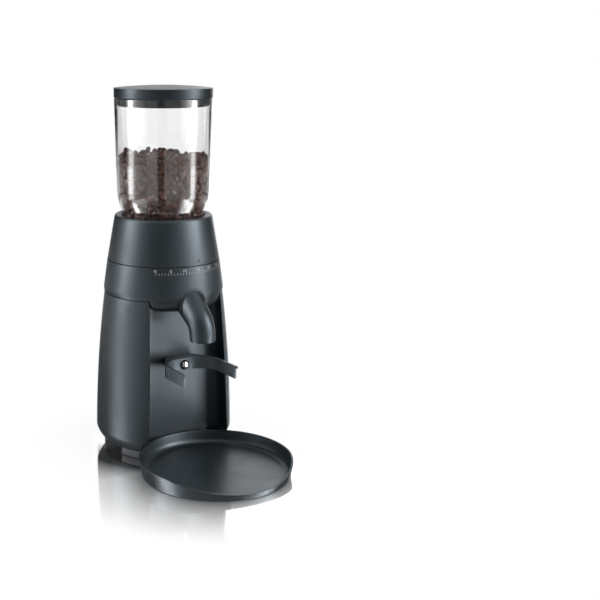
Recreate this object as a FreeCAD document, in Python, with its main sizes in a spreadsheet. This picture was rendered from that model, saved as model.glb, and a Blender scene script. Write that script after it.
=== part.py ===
# A free-standing burr coffee grinder: clear bean hopper on a turning grind collar, tapered housing
# with a portafilter recess, elbow spout, fork with start button, and a loose tray in front.
# Millimetres. Every piece is drawn about the burr axis, with its front towards -Y and the table at
# z = 0, and is then moved back by axis_shift so that the footprint is centred on the origin.
import FreeCAD, Part
import math
import os
import Sketcher
from types import SimpleNamespace

doc = FreeCAD.newDocument("burr_grinder")
sheet = doc.addObject("Spreadsheet::Sheet", "sizes")
vector = FreeCAD.Vector


class Size:
    # A length that knows its number and the sheet expression it comes from.
    def __init__(self, value, text):
        self.value = value
        self.text = text

    def __add__(self, other):
        other = as_size(other)
        return Size(self.value + other.value, f"({self.text} + {other.text})")

    def __sub__(self, other):
        other = as_size(other)
        return Size(self.value - other.value, f"({self.text} - {other.text})")

    def __mul__(self, other):
        other = as_size(other)
        return Size(self.value * other.value, f"({self.text} * {other.text})")

    def __truediv__(self, other):
        other = as_size(other)
        return Size(self.value / other.value, f"({self.text} / {other.text})")

    def __neg__(self):
        return Size(-self.value, f"(0 - {self.text})")

    def __rsub__(self, other):
        return as_size(other) - self

    __radd__ = __add__
    __rmul__ = __mul__


def as_size(length):
    if isinstance(length, Size):
        return length
    return Size(float(length), f"({float(length)})")


driving_sizes = {
    # feet, base plate and housing
    "foot_height": 8.3, "foot_radius": 64.5, "foot_width": 14.0, "base_radius": 62.2, "base_thick": 2.5,
    "housing_foot_radius": 66.5, "crease_radius": 72.9, "crease_height": 21.0,
    "housing_mid_radius": 69.95, "housing_mid_height": 95.0,
    "housing_top_radius": 62.9, "housing_top": 169.5, "housing_wall": 2.6,
    # recess for the portafilter
    "recess_back": 31.0, "recess_wall": 3.2, "recess_half_top": 42.0, "recess_half_bottom": 48.0,
    "recess_corner": 13.0,
    # scale ring, grind collar, hopper and lid
    "ring_wide_radius": 63.4, "ring_wide_height": 174.0, "ring_top_radius": 59.3, "ring_top": 204.0,
    "ring_floor_hole": 38.6, "ring_wall": 3.0, "ring_floor": 3.1,
    "collar_gap": 0.6, "collar_foot_radius": 59.1, "collar_top_radius": 50.9, "collar_top": 250.9,
    "collar_round": 3.0, "collar_wall": 3.0, "socket_radius": 43.9, "shelf_height": 231.0, "shelf_thick": 3.0,
    "sleeve_radius": 34.2, "sleeve_wall": 3.3, "sleeve_foot": 200.0,
    "neck_radius": 43.3, "neck_top": 253.0, "shoulder_radius": 48.75, "shoulder_height": 276.0,
    "shoulder_swell": 3.7, "swell_rise": 10.3,
    "hopper_top_radius": 50.9, "hopper_top": 370.3, "hopper_wall": 2.3, "hopper_hole": 26.0,
    "lid_radius": 51.0, "lid_foot": 370.8, "lid_edge_top": 380.6, "lid_apex": 383.2,
    "lid_thick": 2.4, "lid_flat": 4.0, "plug_radius": 48.0, "plug_foot": 362.4, "plug_wall": 4.0,
    # grinding chamber, burrs and drive shaft
    "chamber_radius": 38.0, "chamber_wall": 3.5, "chamber_floor": 166.5, "chamber_top": 198.0,
    "chamber_floor_thick": 3.0, "chamber_flange": 44.0, "flange_thick": 2.4,
    "shaft_radius": 5.0, "shaft_foot": 119.3, "shaft_top": 198.0, "running_gap": 0.05,
    "sweeper_radius": 33.0, "sweeper_foot": 170.5, "sweeper_height": 7.5, "sweeper_hub": 12.0,
    "cone_foot": 180.0, "cone_top": 203.0, "cone_foot_radius": 19.0, "cone_top_radius": 9.5,
    "burr_outer_radius": 27.0, "burr_foot": 181.0, "burr_top": 203.0, "burr_foot_radius": 19.9,
    "burr_top_radius": 17.4, "carrier_radius": 33.5, "carrier_top": 226.0, "carrier_throat": 25.0,
    # spout and the boss that it leaves
    "spout_reach": 80.5, "spout_end": 131.3, "spout_straight": 3.7, "spout_bend": 25.0, "spout_slope": 40.0,
    "spout_run": 30.2, "spout_root_radius": 14.4, "spout_end_radius": 12.9, "spout_wall": 2.4,
    "chin_centre": 32.0, "chin_radius": 30.0, "chin_foot": 158.5, "chin_round": 5.0, "chin_wall": 2.5,
    # portafilter fork and start button
    "fork_top": 104.0, "fork_height": 13.0, "fork_plate": 2.4, "fork_wall": 2.3, "fork_half_gap": 29.2,
    "fork_corner": 22.0, "fork_back": 45.0, "fork_tip": 96.0, "fork_stem_half": 11.0,
    "button_height": 97.0, "button_tip": 48.4, "button_radius": 4.0, "button_flange": 6.4,
    "button_tail": 2.4, "wall_clearance": 0.35, "switch_plate": 12.5,
    # tray
    "tray_distance": 108.5, "tray_radius": 78.8, "tray_foot_radius": 76.0, "tray_height": 16.7,
    "tray_wall": 2.2, "tray_floor": 3.0, "tray_inner_round": 7.0, "lip_start": 133.0, "lip_end_height": 5.6,
    "tray_gap": 0.7, "notch_height": 19.0, "tray_front_reach": 77.0,
    # gear train
    "module_one": 1.0, "module_two": 1.25, "idler_angle": 145.0, "stage_one": 121.0, "stage_two": 131.0,
    "gear_thick": 8.0, "gearbox_floor": 116.0, "gearbox_floor_thick": 3.0, "gearbox_top": 145.0,
    "gearbox_wall": 2.2, "pin_radius": 3.0,
    # motor
    "motor_radius": 28.0, "motor_foot": 24.0, "motor_wall": 2.2, "motor_cap": 6.0, "motor_shaft_radius": 2.5,
    "armature_radius": 20.0, "armature_foot": 56.0, "armature_height": 42.0,
    # rocker switch and cable inlet at the back
    "rocker_height": 52.0, "rocker_half_width": 8.5, "rocker_half_height": 5.5, "rocker_tilt": 7.0,
    "rocker_pivot_depth": 3.5, "rocker_pin_radius": 1.5, "rocker_pin_reach": 1.1,
    "switch_face": 73.9, "inlet_height": 27.0, "inlet_bore": 3.4, "inlet_radius": 6.4, "inlet_flange": 8.5,
    "rear_reach": 75.0,
}
for row, (alias, number) in enumerate(driving_sizes.items(), 1):
    sheet.set(f"A{row}", alias)
    sheet.set(f"B{row}", str(number))
    sheet.setAlias(f"B{row}", alias)
doc.recompute()
s = SimpleNamespace(**{alias: Size(number, f"sizes.{alias}") for alias, number in driving_sizes.items()})

axis_shift = (s.tray_distance + s.tray_front_reach - s.rear_reach) / 2
finished = []

pinion_teeth, wheel_teeth = 12, 40
idler_pinion_teeth, output_teeth = 12, 36


def finish(piece, label):
    # Names a finished piece and moves it from the burr axis to the centred footprint.
    piece.Label = label
    piece.setExpression("Placement.Base.y", axis_shift.text)
    finished.append(piece)
    return piece


def new_body(name):
    return doc.addObject("PartDesign::Body", name)


def plane_sketch(body, role, name, lift=None):
    sketch = body.newObject("Sketcher::SketchObject", name)
    plane = [feature for feature in body.Origin.OriginFeatures if feature.Role == role][0]
    sketch.AttachmentSupport = [(plane, "")]
    sketch.MapMode = "FlatFace"
    if lift is not None:
        sketch.AttachmentOffset = FreeCAD.Placement(vector(0, 0, lift.value), FreeCAD.Rotation())
        sketch.setExpression("AttachmentOffset.Base.z", lift.text)
    return sketch


def pin_point(sketch, index, position, point):
    for kind, length in zip(("DistanceX", "DistanceY"), point):
        constraint = sketch.addConstraint(
            Sketcher.Constraint(kind, -1, 1, index, position, length.value))
        if "sizes" in length.text:
            sketch.setExpression(f"Constraints[{constraint}]", length.text)


def outline(sketch, corners):
    # Closed outline. A corner is (u, v), or (u, v, (mu, mv)) where an arc through (mu, mv) leaves it.
    points = [(as_size(corner[0]), as_size(corner[1])) for corner in corners]
    ends = []
    for index, corner in enumerate(corners):
        start = points[index]
        stop = points[(index + 1) % len(points)]
        first = vector(start[0].value, start[1].value)
        last = vector(stop[0].value, stop[1].value)
        if len(corner) == 2:
            ends.append((sketch.addGeometry(Part.LineSegment(first, last)), 1, 2, None))
            continue
        through = (as_size(corner[2][0]), as_size(corner[2][1]))
        middle = vector(through[0].value, through[1].value)
        turns_left = (middle - first).cross(last - middle).z > 0
        if turns_left:
            ends.append((sketch.addGeometry(Part.Arc(first, middle, last)), 1, 2, through))
        else:
            ends.append((sketch.addGeometry(Part.Arc(last, middle, first)), 2, 1, through))
    for index, (edge, start_end, stop_end, through) in enumerate(ends):
        following, following_start, _, _ = ends[(index + 1) % len(ends)]
        sketch.addConstraint(Sketcher.Constraint("Coincident", edge, stop_end, following, following_start))
        pin_point(sketch, edge, start_end, points[index])
    for edge, _, _, through in ends:
        if through is not None:
            mark = sketch.addGeometry(Part.Point(vector(through[0].value, through[1].value)), True)
            pin_point(sketch, mark, 1, through)
            sketch.addConstraint(Sketcher.Constraint("PointOnObject", mark, 1, edge))


def circle(sketch, radius, x=0.0, y=0.0):
    x, y = as_size(x), as_size(y)
    edge = sketch.addGeometry(Part.Circle(vector(x.value, y.value), vector(0, 0, 1), radius.value))
    pin_point(sketch, edge, 3, (x, y))
    constraint = sketch.addConstraint(Sketcher.Constraint("Radius", edge, radius.value))
    sketch.setExpression(f"Constraints[{constraint}]", radius.text)


def rectangle(sketch, x_low, x_high, y_low, y_high):
    outline(sketch, [(x_low, y_low), (x_high, y_low), (x_high, y_high), (x_low, y_high)])


def revolve(body, name, corners):
    # Turns a profile of (radius, height) corners about the body's own vertical axis.
    sketch = plane_sketch(body, "XZ_Plane", name + "_profile")
    outline(sketch, corners)
    turned = body.newObject("PartDesign::Revolution", name)
    turned.Profile = sketch
    turned.ReferenceAxis = (sketch, ["V_Axis"])
    turned.Angle = 360
    return turned


def pad(body, name, sketch, length, reverse=False, both=False):
    raised = body.newObject("PartDesign::Pad", name)
    raised.Profile = sketch
    raised.setExpression("Length", length.text)
    raised.Length = length.value
    raised.Reversed = reverse
    raised.Midplane = both
    return raised


def turned_body(name, corners):
    body = new_body(name)
    revolve(body, name + "_turned", corners)
    return body


def turned_along_y(name, level, corners):
    # Turns a profile of (y, z) corners about the line along Y at this height.
    body = new_body(name)
    sketch = plane_sketch(body, "YZ_Plane", name + "_profile")
    outline(sketch, corners)
    axis = sketch.addGeometry(Part.LineSegment(vector(0, level.value), vector(1, level.value)), True)
    pin_point(sketch, axis, 1, (as_size(0), level))
    pin_point(sketch, axis, 2, (as_size(1), level))
    turned = body.newObject("PartDesign::Revolution", name + "_turned")
    turned.Profile = sketch
    turned.ReferenceAxis = (sketch, ["Axis0"])
    turned.Angle = 360
    return body


def cylinder(name, radius, height, x=0.0, y=0.0, z=0.0):
    solid = doc.addObject("Part::Cylinder", name)
    for field, length in (("Radius", radius), ("Height", height), ("Placement.Base.x", as_size(x)),
                          ("Placement.Base.y", as_size(y)), ("Placement.Base.z", as_size(z))):
        solid.setExpression(field, length.text)
    return solid


def box(name, low, high):
    solid = doc.addObject("Part::Box", name)
    low = [as_size(length) for length in low]
    high = [as_size(length) for length in high]
    for field, start, stop in zip(("Length", "Width", "Height"), low, high):
        solid.setExpression(field, (stop - start).text)
    for axis, start in zip("xyz", low):
        solid.setExpression(f"Placement.Base.{axis}", start.text)
    return solid


def rod_along_y(name, radius, y_low, y_high, z, x=0.0):
    solid = doc.addObject("Part::Cylinder", name)
    solid.Placement.Rotation = FreeCAD.Rotation(vector(1, 0, 0), -90)
    y_low, y_high = as_size(y_low), as_size(y_high)
    for field, length in (("Radius", radius), ("Height", y_high - y_low), ("Placement.Base.x", as_size(x)),
                          ("Placement.Base.y", y_low), ("Placement.Base.z", as_size(z))):
        solid.setExpression(field, length.text)
    return solid


def cut(name, base, tools):
    result = doc.addObject("Part::Cut", name)
    result.Base = base
    result.Tool = tools[0] if len(tools) == 1 else fuse(name + "_tools", tools)
    return result


def fuse(name, solids):
    result = doc.addObject("Part::MultiFuse", name)
    result.Shapes = solids
    return result


def shaped(name, shape):
    # Held in a compound, so that a shape keeps its own place when the piece is moved.
    piece = doc.addObject("Part::Feature", name)
    piece.Shape = Part.makeCompound([shape])
    return piece


def polar(radius, degrees):
    angle = math.radians(degrees)
    return radius * math.cos(angle), radius * math.sin(angle)


# Axes of the gear train, from the centre distances of its two pairs.
first_centres = s.module_one * ((pinion_teeth + wheel_teeth) / 2)
second_centres = s.module_two * ((idler_pinion_teeth + output_teeth) / 2)
idler_x_number, idler_y_number = polar(second_centres.value, s.idler_angle.value)
idler_x = Size(idler_x_number, f"({second_centres.text} * cos({s.idler_angle.text} * 1deg))")
idler_y = Size(idler_y_number, f"({second_centres.text} * sin({s.idler_angle.text} * 1deg))")
motor_reach = math.sqrt(first_centres.value ** 2 - idler_x.value ** 2)
motor_y = Size(idler_y.value + motor_reach,
               f"({idler_y.text} + sqrt({first_centres.text} ^ 2 - {idler_x.text} ^ 2))")


def spout_root_point(back):
    # A point on the straight root of the spout, this far up from where its bend begins.
    slope = math.radians(s.spout_slope.value)
    turn = math.pi / 2 - slope
    bend = s.spout_bend.value
    reach = s.spout_reach.value - bend * (1 - math.cos(turn)) - back * math.cos(slope)
    height = s.spout_end.value + s.spout_straight.value + bend * math.sin(turn) + back * math.sin(slope)
    return vector(0, -reach, height)


def spout_rod(radius, back_low, back_high):
    start = spout_root_point(back_low)
    stop = spout_root_point(back_high)
    return Part.makeCylinder(radius, (stop - start).Length, start, stop - start)


def make_lid():
    inner = s.plug_radius - s.plug_wall
    lid = turned_body("hopper_lid_body", [
        (0, s.lid_apex), (s.lid_flat, s.lid_apex, (s.lid_radius * 0.52, s.lid_apex - 0.65)),
        (s.lid_radius - 1.2, s.lid_edge_top, (s.lid_radius - 0.35, s.lid_edge_top - 0.35)),
        (s.lid_radius, s.lid_edge_top - 1.2), (s.lid_radius, s.lid_foot), (inner, s.lid_foot),
        (inner, s.lid_edge_top - s.lid_thick), (0, s.lid_edge_top - s.lid_thick)])
    finish(lid, "hopper_lid")
    seal = turned_body("lid_seal_body", [
        (inner, s.lid_foot), (s.plug_radius, s.lid_foot), (s.plug_radius, s.plug_foot + 1),
        (s.plug_radius - 1, s.plug_foot), (inner, s.plug_foot)])
    finish(seal, "lid_seal")


def make_hopper():
    inner_neck = s.neck_radius - s.hopper_wall
    inner_shoulder = s.shoulder_radius - s.hopper_wall
    foot = s.shelf_height + s.shelf_thick + 0.3
    hopper = turned_body("bean_hopper_body", [
        (s.hopper_hole, foot), (s.neck_radius, foot),
        (s.neck_radius, s.neck_top, (s.neck_radius + s.shoulder_swell, s.neck_top + s.swell_rise)),
        (s.shoulder_radius, s.shoulder_height), (s.hopper_top_radius, s.hopper_top),
        (s.hopper_top_radius - s.hopper_wall, s.hopper_top),
        (inner_shoulder, s.shoulder_height, (inner_neck + s.shoulder_swell, s.neck_top + s.swell_rise)),
        (inner_neck, s.neck_top), (inner_neck, foot + 9), (s.hopper_hole, foot + 2.4)])
    finish(hopper, "bean_hopper")


def make_collar():
    foot = s.ring_top + s.collar_gap
    shelf_top = s.shelf_height + s.shelf_thick
    soft = s.collar_round
    collar = turned_body("grind_collar_body", [
        (s.collar_foot_radius, foot), (s.collar_top_radius + soft * 0.17, s.collar_top - soft,
                                       (s.collar_top_radius - soft * 0.3, s.collar_top - soft * 0.3)),
        (s.collar_top_radius - soft, s.collar_top), (s.socket_radius, s.collar_top),
        (s.socket_radius, shelf_top),
        (s.sleeve_radius, shelf_top), (s.sleeve_radius, s.sleeve_foot),
        (s.sleeve_radius + s.sleeve_wall, s.sleeve_foot), (s.sleeve_radius + s.sleeve_wall, s.shelf_height),
        (s.collar_foot_radius - s.collar_wall - 5, s.shelf_height),
        (s.collar_foot_radius - s.collar_wall, foot)])
    finish(collar, "grind_collar")


def make_scale_ring():
    foot = s.housing_top
    inner_foot = s.ring_wide_radius - s.ring_wall
    ring = turned_body("scale_ring_turned", [
        (s.ring_floor_hole, foot), (s.ring_wide_radius - 1.6, foot),
        (s.ring_wide_radius - 1.2, foot + 1.2), (s.ring_wide_radius, s.ring_wide_height),
        (s.ring_top_radius, s.ring_top), (s.ring_top_radius - s.ring_wall, s.ring_top),
        (inner_foot, foot + s.ring_floor + 1.6), (inner_foot - 1.6, foot + s.ring_floor),
        (s.ring_floor_hole, foot + s.ring_floor)])
    arch = shaped("spout_arch", spout_rod(s.spout_root_radius.value + 0.6, -20, 48))
    finish(cut("scale_ring_body", ring, [arch]), "scale_ring")


def recess_solid(name, grow):
    # The portafilter recess as a loft that narrows upwards, with rounded rear corners.
    body = new_body(name)
    back = s.recess_back - grow
    corner = s.recess_corner + grow
    inset = corner * (1 - math.sqrt(0.5))
    front = 2 * s.crease_radius
    sections = []
    levels = ((as_size(-1), s.recess_half_bottom + grow), (s.housing_top + 5, s.recess_half_top + grow))
    for level, half in levels:
        sketch = plane_sketch(body, "XY_Plane", f"{name}_section", level)
        outline(sketch, [
            (-half, -front), (half, -front),
            (half, -(back + corner), (half - inset, -(back + inset))),
            (half - corner, -back),
            (-(half - corner), -back, (-(half - inset), -(back + inset))),
            (-half, -(back + corner))])
        sections.append(sketch)
    loft = body.newObject("PartDesign::AdditiveLoft", name + "_loft")
    loft.Profile = sections[0]
    loft.Sections = [sections[1]]
    loft.Ruled = True
    return body


def make_housing():
    wall = s.housing_wall
    outer = turned_body("housing_outer", [
        (0, s.foot_height), (s.housing_foot_radius - 1, s.foot_height),
        (s.housing_foot_radius, s.foot_height + 1, (s.crease_radius - 1.9, s.crease_height - 5)),
        (s.crease_radius, s.crease_height, (s.housing_mid_radius, s.housing_mid_height)),
        (s.housing_top_radius, s.housing_top - 1), (s.housing_top_radius - 1, s.housing_top),
        (0, s.housing_top)])
    hollow = turned_body("housing_hollow", [
        (0, s.foot_height - 1), (s.base_radius + 0.3, s.foot_height - 1),
        (s.base_radius + 0.3, s.foot_height + 4),
        (s.crease_radius - wall, s.crease_height + 1.5, (s.housing_mid_radius - wall, s.housing_mid_height)),
        (s.housing_top_radius - wall, s.housing_top), (s.housing_top_radius - wall, s.housing_top + 1),
        (0, s.housing_top + 1)])
    core = cut("housing_core", hollow, [recess_solid("recess_with_wall", s.recess_wall)])
    notch = cylinder("tray_notch", s.tray_radius + s.tray_gap, s.notch_height, 0, -s.tray_distance)
    chamber_room = cylinder("chamber_room", s.chamber_radius + 0.7, as_size(10), 0, 0, s.chamber_floor - 0.5)
    button_hole = rod_along_y("button_hole", s.button_radius + s.wall_clearance, -s.fork_back, 0,
                              s.button_height)
    switch_hole = box("switch_hole", (-(s.rocker_half_width + 2), s.motor_radius, s.rocker_height - 8.5),
                      (s.rocker_half_width + 2, s.rear_reach + 5, s.rocker_height + 8.5))
    inlet_hole = rod_along_y("inlet_hole", s.inlet_radius, s.motor_radius, s.rear_reach + 5, s.inlet_height)
    recess = recess_solid("recess", as_size(0))
    openings = [recess, core, notch, chamber_room, button_hole, switch_hole, inlet_hole]
    shell = cut("housing_shell", outer, openings)
    bosses = []
    for number, (x, y) in enumerate(screw_places):
        post = cylinder(f"screw_post_{number}", as_size(4), as_size(12), x, y, s.foot_height + s.base_thick)
        bosses.append(cut(f"screw_boss_{number}", post,
                          [cylinder(f"screw_bore_{number}", as_size(1.5), as_size(10), x, y, s.foot_height)]))
    finish(fuse("housing_body", [shell] + bosses), "body_shell")


screw_places = [polar(58.9, degrees) for degrees in (-2, 182, 78, 102)]


def make_base():
    plate = new_body("base_plate_blank")
    sketch = plane_sketch(plate, "XY_Plane", "base_outline", s.foot_height)
    front = s.recess_back - s.recess_wall - 0.4
    corner = math.sqrt(s.base_radius.value ** 2 - front.value ** 2)
    corner_x = Size(corner, f"sqrt({s.base_radius.text} ^ 2 - {front.text} ^ 2)")
    outline(sketch, [(-corner_x, -front), (corner_x, -front, (0, s.base_radius))])
    pad(plate, "base_pad", sketch, s.base_thick)
    slots = []
    for number in range(7):
        x = 9 * (number - 3)
        slots.append(box(f"vent_slot_{number}", (x - 2, -20, 0), (x + 2, 0, 20)))
    holes = [cylinder(f"base_hole_{number}", as_size(1.9), as_size(10), x, y, s.foot_height - 1)
             for number, (x, y) in enumerate(screw_places)]
    drilled = cut("base_plate_drilled", plate, slots + holes)
    standoffs = []
    for number, (x, y) in enumerate(board_corners):
        standoffs.append(cylinder(f"standoff_{number}", as_size(3), as_size(5), x, y,
                                  s.foot_height + s.base_thick))
    finish(fuse("base_plate_body", [drilled] + standoffs), "base_plate")
    make_feet()
    screws = []
    for x, y in screw_places:
        head = Part.makeCylinder(3.4, 2.2, vector(x, y, s.foot_height.value - 2.2))
        shank = Part.makeCylinder(1.4, 9.5, vector(x, y, s.foot_height.value - 0.1))
        screws.append(head.fuse(shank).removeSplitter())
    finish(shaped("base_screws_body", Part.makeCompound(screws)), "base_screws")


def make_feet():
    # Four pads, each a stretch of one ring: a front pair and a rear pair.
    pads = []
    for start, stop in ((-73, -50), (50, 73), (-150, -110), (110, 150)):
        edges = []
        for radius in (s.foot_radius.value, s.foot_radius.value - s.foot_width.value):
            points = []
            for degrees in (start, (start + stop) / 2, stop):
                x, y = polar(radius, degrees - 90)
                points.append(vector(x, y, 0))
            edges.append(Part.Arc(*points).toShape())
        sides = [Part.makeLine(outer_end.Point, inner_end.Point)
                 for outer_end, inner_end in zip(edges[0].Vertexes, edges[1].Vertexes)]
        loop = Part.Wire(Part.__sortEdges__(edges + sides))
        pads.append(Part.Face(loop).extrude(vector(0, 0, s.foot_height.value)))
    finish(shaped("feet_body", Part.makeCompound(pads)), "feet")


board_corners = [(-18, 6), (18, 6), (-18, 34), (18, 34)]


def make_board():
    level = s.foot_height + s.base_thick + 5
    board = box("board_plate", (-22, 2, level), (22, 38, level + 1.6))
    parts = [board,
             cylinder("board_capacitor", as_size(5), as_size(5.5), -12, 14, level + 1.6),
             box("board_rectifier", (2, 10, level + 1.6), (17, 14, level + 5.6)),
             box("board_terminal", (-6, 26, level + 1.6), (14, 34, level + 6.0))]
    finish(fuse("rectifier_board_body", parts), "rectifier_board")


def make_spout():
    slope = math.radians(s.spout_slope.value)
    turn = math.pi / 2 - slope
    bend = s.spout_bend.value
    bend_end = s.spout_end.value + s.spout_straight.value
    centre_reach = s.spout_reach.value - bend

    def on_bend(angle):
        return vector(0, -(centre_reach + bend * math.cos(angle)), bend_end + bend * math.sin(angle))

    root = spout_root_point(s.spout_run.value)
    tip = vector(0, -s.spout_reach.value, s.spout_end.value)
    path = Part.Wire([Part.makeLine(root, on_bend(turn)),
                      Part.Arc(on_bend(turn), on_bend(turn / 2), on_bend(0)).toShape(),
                      Part.makeLine(on_bend(0), tip)])
    run = on_bend(turn) - root

    def tube(root_radius, tip_radius):
        shell = Part.BRepOffsetAPI.MakePipeShell(path)
        shell.setFrenetMode(True)
        shell.add(Part.Wire(Part.makeCircle(root_radius, root, run)))
        shell.add(Part.Wire(Part.makeCircle(tip_radius, tip, vector(0, 0, -1))))
        shell.build()
        shell.makeSolid()
        return shell.shape()

    wall = s.spout_wall.value
    outer = tube(s.spout_root_radius.value, s.spout_end_radius.value)
    bore = tube(s.spout_root_radius.value - wall, s.spout_end_radius.value - wall)
    finish(shaped("spout_body", outer.cut(bore)), "spout")


def make_chin():
    bowl = new_body("chin_bowl")
    sketch = plane_sketch(bowl, "XZ_Plane", "chin_profile", s.chin_centre)
    soft = s.chin_round
    outline(sketch, [
        (0, s.chin_foot), (s.chin_radius - soft, s.chin_foot,
                           (s.chin_radius - soft * 0.293, s.chin_foot + soft * 0.293)),
        (s.chin_radius, s.chin_foot + soft), (s.chin_radius, s.housing_top),
        (s.chin_radius - s.chin_wall, s.housing_top),
        (s.chin_radius - s.chin_wall, s.chin_foot + soft,
         (s.chin_radius - s.chin_wall - 1, s.chin_foot + s.chin_wall + 1)),
        (s.chin_radius - s.chin_wall - soft * 0.7, s.chin_foot + s.chin_wall),
        (0, s.chin_foot + s.chin_wall)])
    turned = bowl.newObject("PartDesign::Revolution", "chin_turned")
    turned.Profile = sketch
    turned.ReferenceAxis = (sketch, ["V_Axis"])
    turned.Angle = 360
    behind = box("behind_recess", (-s.crease_radius, -(s.recess_back + 0.2), 0),
                 (s.crease_radius, s.crease_radius, s.collar_top))
    room = cylinder("chin_chamber_room", s.chamber_radius + 0.7, as_size(10), 0, 0, s.chamber_floor - 0.5)
    passage = shaped("chin_passage", spout_rod(s.spout_root_radius.value + 0.5, -20, 48))
    finish(cut("spout_boss_body", bowl, [behind, room, passage]), "spout_boss")


def make_chamber():
    inner = s.chamber_radius - s.chamber_wall
    flange_foot = s.housing_top + s.ring_floor
    floor_top = s.chamber_floor + s.chamber_floor_thick
    bowl = turned_body("chamber_bowl", [
        (s.shaft_radius + 1.5, s.chamber_floor), (s.chamber_radius, s.chamber_floor),
        (s.chamber_radius, flange_foot), (s.chamber_flange, flange_foot),
        (s.chamber_flange, flange_foot + s.flange_thick), (s.chamber_radius, flange_foot + s.flange_thick),
        (s.chamber_radius, s.chamber_top), (inner, s.chamber_top), (inner, floor_top + 2),
        (inner - 2, floor_top), (s.shaft_radius + 1.5, floor_top)])
    neck = shaped("outlet_neck", spout_rod(s.spout_root_radius.value - s.spout_wall.value, 30.5, 46))
    hull = fuse("chamber_with_neck", [bowl, neck])
    inside = turned_body("chamber_inside", [
        (0, floor_top), (inner - 2, floor_top), (inner, floor_top + 2), (inner, s.chamber_top + 1),
        (0, s.chamber_top + 1)])
    bore = shaped("outlet_bore", spout_rod(s.spout_root_radius.value - 2 * s.spout_wall.value, 28, 60))
    finish(cut("grinding_chamber_body", hull, [inside, bore]), "grinding_chamber")


def star_wire(tip, root, teeth, twist, level):
    # A ring of ridges: a steep and a shallow flank for each tooth.
    points = []
    for tooth in range(teeth):
        for share, radius in ((0.0, tip), (0.22, root), (0.8, root)):
            x, y = polar(radius, 360 * (tooth + share) / teeth + twist)
            points.append(vector(x, y, level))
    points.append(points[0])
    return Part.makePolygon(points)


def make_burrs():
    gap = s.running_gap.value
    middle = (s.cone_foot.value + s.cone_top.value) / 2
    middle_radius = (s.cone_foot_radius.value + s.cone_top_radius.value) / 2
    bore = Part.makeCylinder(s.shaft_radius.value + gap, 60, vector(0, 0, s.cone_foot.value - 10))
    cone_sections = []
    for level, tip, depth, twist in ((s.cone_foot.value, s.cone_foot_radius.value, 0.9, 0),
                                     (middle, middle_radius, 1.6, 10),
                                     (s.cone_top.value, s.cone_top_radius.value, 2.4, 20)):
        cone_sections.append(star_wire(tip, tip - depth, 14, twist, level))
    cone = Part.makeLoft(cone_sections, True, True)
    finish(shaped("cone_burr_body", cone.cut(bore)), "cone_burr")
    ring_sections = []
    low, high = s.burr_foot.value - 1, s.burr_top.value + 1
    for level, tip, depth, twist in ((low, s.burr_foot_radius.value, 0.8, 0),
                                     (high, s.burr_top_radius.value, 2.6, -14)):
        ring_sections.append(star_wire(tip + depth, tip, 18, twist, level))
    blank = Part.makeCylinder(s.burr_outer_radius.value, s.burr_top.value - s.burr_foot.value,
                              vector(0, 0, s.burr_foot.value))
    finish(shaped("ring_burr_body", blank.cut(Part.makeLoft(ring_sections, True, True))), "ring_burr")
    seat = s.burr_outer_radius + gap
    carrier = turned_body("burr_carrier_body", [
        (seat, s.burr_foot), (s.carrier_radius, s.burr_foot), (s.carrier_radius, s.carrier_top),
        (s.carrier_radius - 2.5, s.carrier_top), (s.carrier_throat, s.burr_top + 8),
        (s.carrier_throat, s.burr_top), (seat, s.burr_top)])
    finish(carrier, "burr_carrier")


def make_drive():
    gap = s.running_gap
    shaft = new_body("drive_shaft_body")
    sketch = plane_sketch(shaft, "XY_Plane", "drive_shaft_section", s.shaft_foot)
    circle(sketch, s.shaft_radius)
    pad(shaft, "drive_shaft_pad", sketch, s.shaft_top - s.shaft_foot)
    finish(shaft, "drive_shaft")
    hub = turned_body("sweeper_hub_body", [
        (s.shaft_radius + gap, s.sweeper_foot), (s.sweeper_hub, s.sweeper_foot),
        (s.sweeper_hub, s.cone_foot), (s.shaft_radius + gap, s.cone_foot)])
    vanes = []
    for number in range(4):
        vane = box(f"sweeper_vane_{number}", (s.sweeper_hub - 1, -1.5, s.sweeper_foot),
                   (s.sweeper_radius, 1.5, s.sweeper_foot + s.sweeper_height))
        turned = doc.addObject("Part::Compound", f"sweeper_arm_{number}")
        turned.Links = [vane]
        turned.Placement.Rotation = FreeCAD.Rotation(vector(0, 0, 1), 45 + 90 * number)
        vanes.append(turned)
    finish(fuse("sweeper_body", [hub] + vanes), "sweeper")
    bolt = new_body("burr_bolt_body")
    head = plane_sketch(bolt, "XY_Plane", "bolt_head_section", s.cone_top)
    outline(head, [polar(6.5, 60 * corner) for corner in range(6)])
    pad(bolt, "bolt_head", head, as_size(4.5))
    shank = plane_sketch(bolt, "XY_Plane", "bolt_shank_section", s.cone_top)
    circle(shank, s.shaft_radius - 0.4)
    pad(bolt, "bolt_shank", shank, s.cone_top - s.shaft_top, reverse=True)
    finish(bolt, "burr_bolt")


def tooth_outline(module, teeth, phase):
    # Involute teeth of 20 degrees with short tips and a little play, as one closed polygon.
    pitch = module * teeth / 2
    base = pitch * math.cos(math.radians(20))
    tip = pitch + 0.75 * module
    root = pitch - 1.1 * module
    play = 0.08

    def involute(radius):
        angle = math.acos(min(1.0, base / radius))
        return math.tan(angle) - angle

    def half_width(radius):
        return math.pi / (2 * teeth) - play / pitch + involute(pitch) - involute(max(radius, base))

    flank = [root, max(base, root + 0.3), pitch, tip]
    points = []
    for tooth in range(teeth):
        middle = math.radians(phase) + 2 * math.pi * tooth / teeth
        for radius in flank:
            angle = middle - half_width(radius)
            points.append(vector(radius * math.cos(angle), radius * math.sin(angle), 0))
        for radius in reversed(flank):
            angle = middle + half_width(radius)
            points.append(vector(radius * math.cos(angle), radius * math.sin(angle), 0))
    points.append(points[0])
    return Part.Face(Part.makePolygon(points))


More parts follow.
